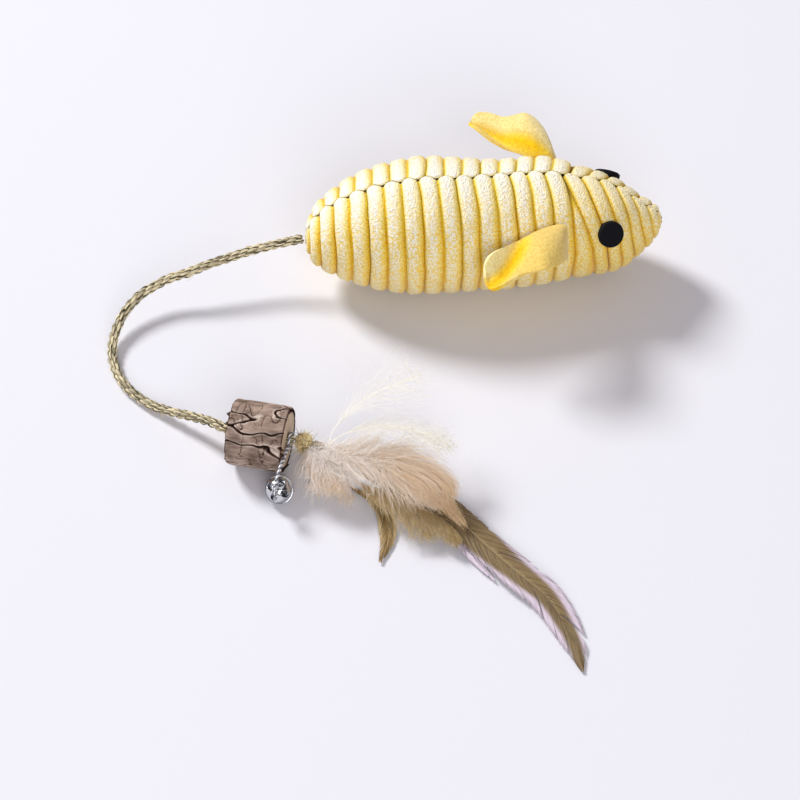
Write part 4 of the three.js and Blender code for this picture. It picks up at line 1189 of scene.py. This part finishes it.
# %% Model the wire ring on its stem
RING_RADIUS = 1.15
RING_WIRE = 0.35
bpy.ops.mesh.primitive_torus_add(major_radius=RING_RADIUS * MM, minor_radius=RING_WIRE * MM,
                                 major_segments=48, minor_segments=16, rotation=(math.pi / 2, 0, 0),
                                 location=(0, 0, 5.9 * MM))
shank = bpy.context.object
shank.name = "bell_ring"
bpy.ops.mesh.primitive_cylinder_add(vertices=24, radius=RING_WIRE * MM, depth=1.9 * MM,
                                    location=(0, 0, 3.9 * MM))
join_to(shank, bpy.context.object)
bpy.ops.object.shade_smooth()
set_in(shank, BELL_PLACE)

# %% Bell material
chrome, _, _ = new_material("bell_chrome", Base_Color=paint(205, 206, 210), Metallic=1.0, Roughness=0.16)
dress(bell_crown, chrome, "bell", "bell_crown_shell")
dress(bell_bowl, chrome, "bell", "bell_bowl_shell")
dress(shank, chrome, "bell", "bell_shank")

# %% Where the silver cord runs
LOOP_RADIUS = ROPE_RADIUS + CLEARANCE + SILVER_WIRE / 2
LINK_RADIUS = 1.45
LINK_HEIGHT = 7.35


def moved(points, place):
    """Points in millimetres, moved by a matrix."""
    return np.asarray(points, float) @ np.array(place.to_3x3()).T + np.array(place.translation)


link_end = moved([[0, 0, LINK_HEIGHT + LINK_RADIUS]], BELL_PLACE)[0]
loop_side = in_bead(loop_at, -LOOP_RADIUS)
cord_line = evenly(smooth_line([
    loop_side, loop_side + (link_end - loop_side) * 0.3 + [0, 0, 1.12],
    loop_side + (link_end - loop_side) * 0.65 + [0, 0, 1.6], link_end]), 90)
circle = np.linspace(0, FULL_TURN, 81)
rope_loop = np.array([in_bead(loop_at, -LOOP_RADIUS * math.cos(turn), LOOP_RADIUS * math.sin(turn))
                      for turn in circle])
link_loop = moved([[0, LINK_RADIUS * math.sin(turn), LINK_HEIGHT + LINK_RADIUS * math.cos(turn)]
                   for turn in circle], BELL_PLACE)
print("silver cord, mm:", round(line_length(cord_line), 1))

# %% Twist the silver cord
silver_parts = []
for line, ply in ((cord_line, 0.29), (rope_loop, 0.22), (link_loop, 0.22)):
    turns = max(round(line_length(line) / 2), 1)
    pair = [laid(line, ply, line_length(line) / turns, start) for start in (0, math.pi)]
    silver_parts.append(strand_arrays(pair, ply, sides=10, tone=[0, 1]))
silver_cord = strands("silver_cord", *silver_parts)
tinsel = stranded("silver_thread", paint(244, 244, 250), paint(244, 244, 250), paint(84, 82, 92), 0.85,
                  Metallic=0.3, Roughness=0.3)
dress(silver_cord, tinsel, "bell", "bell_cord")

# %% [markdown]
# ## The knot and the whipping
# The rope ends in a tight knot, whose loose fibres stand out towards the front. Thread whips the
# quills of the feathers just behind it.

# %% Wind the knot
KNOT_WRAPS = 4
WRAP_RADIUS = 1.75
KNOT_PLY_REACH = 0.55
KNOT_FIBRE_REACH = 0.26
KNOT_FIBRE_RADIUS = 0.28
KNOT_FIBRE_PITCH = 3.4
PLY_STARTS = (0, 2.094, 4.188)
FIBRE_STARTS = (0, 1.57, 3.14, 4.71)
knot_middle = in_bead(knot_at)
knot_wraps = []
for wrap in range(KNOT_WRAPS):
    tilt = Matrix.Rotation(wrap * 0.9 + 0.3, 4, "Z") @ Matrix.Rotation(0.9 + 0.35 * wrap, 4, "X")
    flat_ring = np.column_stack([WRAP_RADIUS * np.cos(circle), WRAP_RADIUS * np.sin(circle),
                                 0.25 * np.sin(2 * circle)])
    ring = moved(flat_ring, tilt) + knot_middle
    for ply_start in PLY_STARTS:
        ply_line = laid(ring, KNOT_PLY_REACH, line_length(ring) / 2, ply_start)
        knot_wraps += [laid(ply_line, KNOT_FIBRE_REACH, KNOT_FIBRE_PITCH, start) for start in FIBRE_STARTS]
print("fibres of the knot:", len(knot_wraps))

# %% Model the knot, with its loose fibres
KNOT_HAIRS = 620
KNOT_HAIR_STEPS = 6
knot_draw = np.random.default_rng(8)
knot_hairs = []
for _ in range(KNOT_HAIRS):
    way = unit(knot_draw.normal(0, 1, 3) + np.array([0.1, -0.3, 0.2]))
    reach = knot_draw.uniform(0.3, 1.5)
    bend = knot_draw.normal(0, 0.8, 3)
    out = np.linspace(0, 1, KNOT_HAIR_STEPS)[:, None]
    knot_hairs.append(knot_middle + way * (2.0 + reach * out) + bend * reach * out**2)
wrap_tones = knot_draw.uniform(0, 1, len(knot_wraps))
knot_hair_tones = knot_draw.uniform(0, 1, KNOT_HAIRS)**2
rope_knot = strands(
    "rope_knot",
    strand_arrays(knot_wraps, KNOT_FIBRE_RADIUS, sides=6, tone=wrap_tones),
    strand_arrays(knot_hairs, np.linspace(0.12, 0.05, KNOT_HAIR_STEPS), tone=knot_hair_tones),
)
knot_grass = stranded("knot_grass", paint(255, 236, 172), paint(255, 246, 206), paint(160, 118, 54),
                      Roughness=0.6)
dress(rope_knot, knot_grass, "tail", "end_knot")

# %% Places in the bunch of feathers
BUNCH_YAW = math.radians(-25)
BUNCH_PLACE = Matrix.Translation((knot_middle[0], knot_middle[1], 0)) @ Matrix.Rotation(BUNCH_YAW, 4, "Z")
KNOT_HEIGHT = 10
COLLAR_RADIUS = 1.7
COLLAR_FROM = KNOT_RADIUS + CLEARANCE
COLLAR_TO = COLLAR_FROM + 3
print("whipping, mm from the knot's middle:", round(COLLAR_FROM, 2), "to", round(COLLAR_TO, 2))

# %% Model the whipping
THREAD_RADIUS = 0.24
THREAD_TURNS = 7
wound = np.linspace(0, 1, 260)
thread_line = np.column_stack([
    COLLAR_FROM + 0.25 + (COLLAR_TO - COLLAR_FROM - 0.5) * wound,
    (COLLAR_RADIUS - THREAD_RADIUS) * np.cos(wound * THREAD_TURNS * FULL_TURN),
    KNOT_HEIGHT + (COLLAR_RADIUS - THREAD_RADIUS) * np.sin(wound * THREAD_TURNS * FULL_TURN)])
quill_core = np.column_stack([np.linspace(COLLAR_FROM, COLLAR_TO, 8), np.zeros(8), np.full(8, KNOT_HEIGHT)])
whipping = strands("whipping_thread",
                   strand_arrays([moved(thread_line, BUNCH_PLACE)], THREAD_RADIUS, sides=8),
                   strand_arrays([moved(quill_core, BUNCH_PLACE)], 1.3, sides=20))
waxed = stranded("waxed_thread", paint(150, 136, 112), paint(150, 136, 112), paint(90, 80, 60), Roughness=0.7)
dress(whipping, waxed, "feathers", "quill_whipping")

# %% [markdown]
# ## Feathers
# A feather has a pale shaft, and on each side a row of barbs that leave it at a slant. Each barb is a
# thin flat strand. A few groups of barbs cling together, and leave the splits that real vanes have.
# The shaft of each feather follows its path in the frame.

# %% Paths in the bunch
def free_path(points, count=200):
    """A smooth path through points in the bunch."""
    return evenly(moved(smooth_line(points), BUNCH_PLACE), count)


def bunch_path(reach, roots, path_shares, lead):
    """The path of a quill: straight out of the whipping by lead, and then on through the path shares.

    reach and lead are in mm. A path share is [ahead, left, up], the first two in reaches and the last
    one in knot heights."""
    across, high = [share * 2 * COLLAR_RADIUS for share in roots]
    start = np.array([COLLAR_TO + CLEARANCE, across, KNOT_HEIGHT + high])
    onward = [[x * reach, y * reach, z * KNOT_HEIGHT] for x, y, z in path_shares]
    return free_path([start, start + [lead, 0, 0], *onward], 400)


def along_path(path, share):
    """The places at shares of a path, and there the directions ahead, across and up."""
    share = np.clip(np.asarray(share, float), 0, 1)
    places = np.linspace(0, 1, len(path))
    direction = unit(np.gradient(path, axis=0))
    place = np.stack([np.interp(share, places, column) for column in path.T], -1)
    ahead = unit(np.stack([np.interp(share, places, column) for column in direction.T], -1))
    across = unit(np.stack([-ahead[..., 1], ahead[..., 0], np.zeros(share.shape)], -1))
    return place, ahead, across, np.cross(ahead, across)


def even_table(values, share):
    """Reads a table whose values lie at even steps from 0 to 1."""
    return np.interp(share, np.linspace(0, 1, len(values)), values)


# %% One vaned feather
BARB_STEPS = 9
BARB_SLANT = math.radians(21)
BARB_RADIUS = 0.18
NEW_TUFT = 0.035
TUFT_PULL = 0.3


def vane(path, width, width_shares, first, barbs, core_shares, seed):
    """Barbs on both sides of a path. core_shares gives how far out the dark core reaches, root to tip."""
    draw = np.random.default_rng(seed)
    length = line_length(path)
    out = np.linspace(0, 1, BARB_STEPS)
    parts = []
    for side in (-1, 1):
        foot = np.linspace(first, 0.985, barbs) + draw.uniform(-0.3, 0.3, barbs) / barbs
        half = width / 2 * even_table(width_shares, foot)
        lead = half / math.tan(BARB_SLANT) / length * draw.uniform(0.93, 1.07, barbs)
        tuft = np.cumsum(draw.uniform(0, 1, barbs) < NEW_TUFT)
        middle = np.array([foot[tuft == one].mean() for one in tuft])
        pull = TUFT_PULL * draw.uniform(0, 1, tuft.max() + 1)[tuft]
        tip = np.minimum(foot + lead, 1)
        tip = tip + (middle + lead.mean() - tip) * pull
        reach = width / 2 * even_table(width_shares, np.minimum(tip, 1)) * draw.uniform(0.9, 1.03, barbs)
        share = foot[:, None] + (tip - foot)[:, None] * out**1.25
        place, _, across, up = along_path(path, share)
        rise = 0.3 * np.sin(out * math.pi) - 0.2 * out**2 + draw.normal(0, 0.05, barbs)[:, None] * out
        lines = place + across * (side * reach[:, None] * out**0.85)[..., None] + up * rise[..., None]
        lines[..., 2] = np.maximum(lines[..., 2], 0.15)
        core = even_table(core_shares, share)
        tint = np.clip((reach[:, None] * out / (width / 2) - core) / 0.2, 0, 1)
        tone = draw.uniform(0, 1, barbs)[:, None] * (1 - 0.8 * tint)
        tone += 0.7 * (draw.uniform(0, 1, barbs) < 0.07)[:, None]
        parts.append(strand_arrays(lines, BARB_RADIUS * (1 - 0.5 * out), facing=(0, 0, 1), flat=0.3,
                                   tone=tone, along=tint))
    return parts


def shaft(path, root, tip):
    """A quill that is pale first and dark towards its tip."""
    line = path[::4]
    dark = np.clip((np.linspace(0, 1, len(line)) - 0.66) / 0.15, 0, 1)[None, :]
    return strand_arrays([line], np.linspace(root, tip, len(line)), sides=8, tone=dark,
                         along=np.zeros(dark.shape))


def feather(name, node, path, cloth, quill, **vane_settings):
    """A vaned feather with its quill, dressed."""
    made = strands(name, *vane(path, **vane_settings), shaft(path, quill, 0.07))
    dress(made, cloth, "feathers", node)


# %% The paths of the vaned feathers
long_path = bunch_path(101.4, [0.353, -0.4], [
    [0.09, 0.016, 0.7], [0.14, 0.022, 0.45], [0.243, 0.03, 0.4], [0.345, 0.019, 0.39], [0.436, -0.012, 0.38],
    [0.514, -0.054, 0.36], [0.625, -0.112, 0.33], [0.736, -0.163, 0.29], [0.824, -0.202, 0.24],
    [0.891, -0.257, 0.19], [0.95, -0.318, 0.14], [1, -0.392, 0.09],
], 2)
second_path = bunch_path(69, [0, -0.4], [
    [0.15, 0.01, 0.55], [0.23, 0.012, 0.3], [0.376, -0.002, 0.26], [0.53, -0.033, 0.25], [0.652, -0.06, 0.23],
    [0.734, -0.1, 0.21], [0.814, -0.172, 0.18], [0.888, -0.23, 0.15], [0.991, -0.293, 0.1],
], 2)
hackle_path = bunch_path(35, [-0.353, -0.4], [
    [0.3, -0.07, 0.34], [0.46, -0.11, 0.13], [0.68, -0.16, 0.11], [0.81, -0.23, 0.11],
    [0.9, -0.35, 0.11], [0.97, -0.52, 0.1], [0.995, -0.74, 0.09],
], 2)
print("feathers, mm:", [round(line_length(path), 1) for path in (long_path, second_path, hackle_path)])

# %% Model the three vaned feathers
olive = stranded("olive_barbs", paint(154, 131, 86), paint(248, 232, 248), paint(104, 78, 52), 0.75,
                 Roughness=0.5, Sheen_Weight=0.2)
brown = stranded("brown_barbs", paint(184, 150, 92), paint(218, 192, 136), paint(100, 78, 36), 0.9,
                 Roughness=0.5, Sheen_Weight=0.2)
feather("feather_long_vane", "feather_long", long_path, olive, quill=0.36,
        width=10.8, first=0.2, barbs=420, seed=11,
        width_shares=[0.08, 0.08, 0.1, 0.3, 0.66, 0.82, 0.9, 0.96, 1, 0.98, 0.88, 0.66, 0.05],
        core_shares=[1, 1, 1, 1, 1, 1, 0.84, 0.66, 0.52, 0.4, 0.32, 0.25, 0.18])
feather("feather_second_vane", "feather_second", second_path, olive, quill=0.28,
        width=5, first=0.2, barbs=220, seed=12,
        width_shares=[0.16, 0.16, 0.2, 0.5, 0.9, 1, 1, 1, 1, 0.8, 0.4, 0.05],
        core_shares=[1, 1, 1, 1, 0.6, -0.1, -0.4])
feather("feather_hackle_vane", "feather_hackle", hackle_path, brown, quill=0.24,
        width=5.4, first=0.3, barbs=150, seed=13,
        width_shares=[0.15, 0.15, 0.15, 0.18, 0.4, 0.85, 1, 0.95, 0.6, 0.12],
        core_shares=[0.9, 0.7, 0.5, 0.4])

# %% [markdown]
# ## Down
# A plume of down is a cloud. Each barb leaves the shaft, sweeps towards the tip and curls, and carries
# short hairs on all sides. Barbs fill the plume's outer form from the frame: path, width and depth.
# The pink plume is curly near the knot and combed flat further out, so its barbs are drawn in two zones.

# %% One zone of down
DOWN_STEPS = 7
WILD_BARBS = 0.12


def down(path, width, depth, widths, depths, barbs, hairs, seed, span, sweep, curl, thin=0.07, hair=2.0,
         tones=(0, 1), aim=None, mottle=0.0):
    """Barbs, with hairs on each, that leave a path between the two shares in span.

    sweep is how far a barb runs on along the path, curl how far it bends, hair how long its hairs are.
    aim is (angle, spread) where all barbs leave to one side. mottle is how far every third barb strays
    in tone."""
    draw = np.random.default_rng(seed)
    out = np.linspace(0, 1, DOWN_STEPS)
    foot = draw.uniform(*span, barbs)
    tip = np.minimum(foot + sweep * draw.uniform(0.5, 1.4, barbs), draw.uniform(0.88, 1.0, barbs))
    turn = draw.uniform(0, FULL_TURN, barbs) if aim is None else draw.normal(*aim, barbs)
    size = draw.uniform(0.35, 1.0, barbs)**0.6
    wild = draw.uniform(0, 1, barbs) < WILD_BARBS
    size[wild] *= draw.uniform(1.1, 1.45, wild.sum())
    share = foot[:, None] + (tip - foot)[:, None] * out**1.1
    place, _, across, up = along_path(path, share)
    half = width / 2 * even_table(widths, share)
    deep = depth / 2 * even_table(depths, share)
    spread = out**0.8 * size[:, None]
    lines = (place + across * (np.cos(turn)[:, None] * half * spread)[..., None]
             + up * (np.sin(turn)[:, None] * deep * spread)[..., None])
    first_way, second_way = (draw.normal(0, curl, (barbs, 1, 3)) for _ in range(2))
    wave = np.sin(out * 2.6 * math.pi) * 0.3 * out
    lines = lines + first_way * (out**2)[:, None] + second_way * wave[:, None]
    lines[..., 2] = np.maximum(lines[..., 2], 0.2)
    tone = tones[0] + (tones[1] - tones[0]) * (0.7 * (foot - span[0]) / (span[1] - span[0])
                                               + 0.3 * draw.uniform(0, 1, barbs))
    tone = np.clip(tone + mottle * draw.uniform(0.4, 1, barbs) * (np.arange(barbs) % 3 == 0), 0, 1)
    barb = strand_arrays(lines, thin * (1 - 0.7 * out), tone=tone)
    pick = draw.integers(0, barbs, barbs * hairs)
    at = draw.uniform(0.12, 0.95, barbs * hairs) * (DOWN_STEPS - 1)
    low = at.astype(int)
    part = (at - low)[:, None]
    base = lines[pick, low] * (1 - part) + lines[pick, low + 1] * part
    ahead = unit(lines[pick, low + 1] - lines[pick, low])
    way = unit(ahead * 1.1 + unit(draw.normal(0, 1, (barbs * hairs, 3))) * 0.9)
    hair_length = hair * draw.uniform(0.4, 1.0, barbs * hairs) * (1 - 0.4 * at / (DOWN_STEPS - 1))
    ends = base + way * hair_length[:, None]
    ends[:, 2] = np.maximum(ends[:, 2], 0.1)
    return barb, spike_arrays(base, ends, 0.035, tone[pick], at / (DOWN_STEPS - 1))


# %% The plumes' paths
pink_path = bunch_path(49.5, [0.088, -0.03], [
    [0.175, 0.004, 1.08], [0.25, -0.002, 1.15], [0.36, -0.008, 1.18], [0.525, 0.02, 1.18],
    [0.65, 0.01, 1.18], [0.775, -0.006, 1.12], [0.87, -0.034, 1.02], [0.97, -0.1, 0.86],
], 0.9)
white_path = bunch_path(15, [-0.294, 0.03], [
    [0.53, -0.2, 1.02], [0.59, -0.38, 0.98], [0.63, -0.54, 0.87], [0.67, -0.72, 0.7], [0.69, -0.9, 0.5],
], 0.9)
olive_path = bunch_path(46, [-0.13, -0.14], [
    [0.228, -0.024, 0.85], [0.34, -0.07, 0.62], [0.52, -0.135, 0.48], [0.7, -0.185, 0.46],
    [0.85, -0.245, 0.46], [0.95, -0.295, 0.42], [1.02, -0.36, 0.34],
], 0.9)
cream_path = bunch_path(45, [0.353, 0.147], [
    [0.2, 0.04, 1.3], [0.29, 0.09, 1.64], [0.472, 0.17, 1.84], [0.66, 0.22, 1.84], [0.86, 0.24, 1.62],
    [0.98, 0.23, 1.34],
], 0.9)
fan_path = bunch_path(42, [0.088, 0.324], [
    [0.2, 0.07, 1.62], [0.29, 0.2, 2.16], [0.41, 0.36, 2.4], [0.565, 0.51, 2.5], [0.69, 0.66, 2.5],
], 0.9)
ruff_path = free_path([[1.5, -0.5, 10], [6, -2.5, 10], [12, -4.5, 9.5], [19, -6, 9]])
olive_fan_path = free_path([[20, -4.5, 5.5], [29, -4.5, 5.5], [39, -5.5, 5.2], [50, -8.5, 4.6],
                            [56, -12.5, 4]])
merge_path = free_path([[33, 0, 9.4], [41, -1.8, 8.6], [48, -4.8, 7.4], [56, -9.6, 6.2]])
hackle_foot = free_path([[10, -4, 7], [16, -6.5, 5], [21, -9.5, 3.6]], 120)
plume_paths = (pink_path, white_path, olive_path, cream_path, fan_path)
print("plumes, mm:", [round(line_length(path), 1) for path in plume_paths])

# %% The plumes' colours
# The pink, white and cream down glow a little: painted light, in place of the light that shines through down.
PAINTED_GLOW = 0.09
pink_down = stranded("pink_down", paint(255, 247, 243), paint(255, 250, 243), paint(220, 182, 124), 1.0,
                     Roughness=0.9, Sheen_Weight=0.8, Emission_Color=paint(250, 226, 204),
                     Emission_Strength=PAINTED_GLOW)
white_down = stranded("white_down", paint(255, 250, 250), paint(255, 244, 232), paint(214, 174, 110), 1.0,
                      Roughness=0.9, Sheen_Weight=0.9, Emission_Color=paint(250, 240, 234),
                      Emission_Strength=PAINTED_GLOW)
cream_down = stranded("cream_down", paint(255, 253, 242), paint(255, 255, 250), paint(250, 242, 214), 0.6,
                      Roughness=0.9, Sheen_Weight=0.4, Emission_Color=paint(255, 250, 236),
                      Emission_Strength=PAINTED_GLOW)
olive_down = stranded("olive_down", paint(226, 194, 128), paint(252, 230, 184), paint(182, 150, 82), 0.8,
                      Roughness=0.9, Sheen_Weight=0.4)

# %% Model the pink plume: curls, a flat end, a loose side, and tips that merge with the long feather
PINK_WIDTHS = [0.3, 0.55, 0.8, 0.92, 0.96, 0.92, 0.8, 0.6, 0.2]
PINK_DEPTHS = [0.3, 0.5, 0.76, 0.92, 1, 1, 0.98, 0.85, 0.4]
MERGE_WIDTHS = [1, 0.95, 0.75, 0.4, 0.05]
pink_curls = down(pink_path, 24, 13, PINK_WIDTHS, PINK_DEPTHS, barbs=740, hairs=17, seed=21, span=(0.06, 0.5),
                  sweep=0.16, curl=1.2, hair=1.8, tones=(0, 0.35), mottle=0.4)
pink_flat = down(pink_path, 24, 13, PINK_WIDTHS, PINK_DEPTHS, barbs=1300, hairs=6, seed=31, span=(0.3, 0.95),
                 sweep=0.36, curl=0.6, hair=1.3, tones=(0.4, 0.9), mottle=0.5)
pink_side = down(pink_path, 33, 10, PINK_WIDTHS, PINK_DEPTHS, barbs=260, hairs=5, seed=33, span=(0.42, 0.9),
                 sweep=0.3, curl=0.7, hair=1.2, tones=(0.3, 0.8), aim=(math.pi + 0.25, 0.4))
pink_tips = down(merge_path, 11, 3, MERGE_WIDTHS, MERGE_WIDTHS, barbs=330, hairs=4, seed=34, span=(0.0, 0.6),
                 sweep=0.35, curl=0.4, hair=1.0, tones=(0.75, 1), mottle=0.3)
pink_plume = strands("pink_plume", *pink_curls, *pink_flat, *pink_side, *pink_tips,
                     shaft(pink_path, 0.4, 0.08))
dress(pink_plume, pink_down, "feathers", "plume_pink")

# %% Model the white down at the foot of the bunch
RUFF_WIDTHS = [0.45, 0.9, 1, 0.95, 0.7]
HACKLE_FOOT_WIDTHS = [0.5, 0.9, 1, 0.8]
WHITE_WIDTHS = [0.06, 0.3, 0.7, 0.9, 1, 0.95, 0.42]
WHITE_DEPTHS = [0.09, 0.14, 0.55, 0.85, 1, 0.9, 0.45]
ruff = down(ruff_path, 15, 11, RUFF_WIDTHS, RUFF_WIDTHS, barbs=900, hairs=14, seed=22, span=(0.0, 0.95),
            sweep=0.3, curl=1.5, hair=1.7, tones=(0, 0.1), mottle=0.35)
ruff_side = down(ruff_path, 21, 9, RUFF_WIDTHS, RUFF_WIDTHS, barbs=420, hairs=8, seed=27, span=(0.0, 0.9),
                 sweep=0.3, curl=1.0, hair=1.2, tones=(0.3, 0.6), aim=(math.pi + 0.3, 0.4), mottle=0.6)
hackle_down = down(hackle_foot, 11, 4, HACKLE_FOOT_WIDTHS, HACKLE_FOOT_WIDTHS, barbs=170, hairs=7, seed=29,
                   span=(0.0, 0.95), sweep=0.4, curl=1.1, hair=1.2, tones=(0.25, 0.5),
                   aim=(math.pi, 0.7), mottle=0.5)
white_end = down(white_path, 10.6, 7.4, WHITE_WIDTHS, WHITE_DEPTHS, barbs=240, hairs=9, seed=28,
                 span=(0.15, 0.8), sweep=0.35, curl=1.5, hair=1.4, tones=(0, 0.3), mottle=0.6)
white_tuft = strands("white_tuft", *ruff, *ruff_side, *hackle_down, *white_end, shaft(white_path, 0.3, 0.08))
dress(white_tuft, white_down, "feathers", "plume_white")

# %% Model the olive down under the long feather
OLIVE_FAN = [0.5, 0.9, 1, 0.8, 0.4]
OLIVE_WIDTHS = [0.03, 0.04, 0.1, 0.22, 0.44, 0.76, 1, 0.95, 0.45]
OLIVE_DEPTHS = [0.18, 0.24, 0.5, 0.7, 0.8, 0.9, 1, 1, 0.6]
olive_fan = down(olive_fan_path, 18, 3, OLIVE_FAN, OLIVE_FAN, barbs=900, hairs=10, seed=25, span=(0.0, 0.97),
                 sweep=0.14, curl=0.6, hair=1.4, aim=(math.pi, 0.5))
olive_middle = down(olive_path, 12.6, 2.2, OLIVE_WIDTHS, OLIVE_DEPTHS, barbs=200, hairs=10, seed=26,
                    span=(0.3, 0.95), sweep=0.25, curl=0.5, hair=1.2)
olive_plume = strands("olive_plume", *olive_fan, *olive_middle, shaft(olive_path, 0.2, 0.06))
dress(olive_plume, olive_down, "feathers", "plume_olive")

# %% Model the two cream plumes
CREAM_WIDTHS = [0.055, 0.1, 0.5, 0.8, 1, 1, 0.8, 0.25]
CREAM_DEPTHS = [0.4, 0.5, 0.9, 1, 1, 1, 0.9, 0.5]
FAN_WIDTHS = [0.05, 0.08, 0.4, 0.8, 1, 0.95, 0.35]
FAN_DEPTHS = [0.4, 0.5, 0.9, 1, 1, 0.9, 0.5]
cream_barbs = down(cream_path, 17, 2.4, CREAM_WIDTHS, CREAM_DEPTHS, barbs=260, hairs=7, seed=23,
                   span=(0.18, 0.95), sweep=0.4, curl=1.3, thin=0.035)
cream_plume = strands("cream_plume", *cream_barbs, shaft(cream_path, 0.14, 0.05))
dress(cream_plume, cream_down, "feathers", "plume_cream")
fan_barbs = down(fan_path, 25, 2.6, FAN_WIDTHS, FAN_DEPTHS, barbs=170, hairs=6, seed=24,
                 span=(0.18, 0.95), sweep=0.42, curl=1.8, thin=0.028)
cream_fan = strands("cream_fan", *fan_barbs, shaft(fan_path, 0.14, 0.05))
dress(cream_fan, cream_down, "feathers", "plume_cream_fan")

# %% [markdown]
# ## The last pieces
# Two pieces of the frame stay as they are: the anchor knot inside the rear, and the pellet inside the
# bell. They only need their materials.

# %% Materials for the pieces that stay
for node, cloth in (("tail_anchor_knot", dry_grass), ("bell_pellet", chrome)):
    for piece in [o for o in bpy.data.objects if o.name == node]:
        piece.data.materials.clear()
        piece.data.materials.append(cloth)
        print(node, "->", cloth.name)
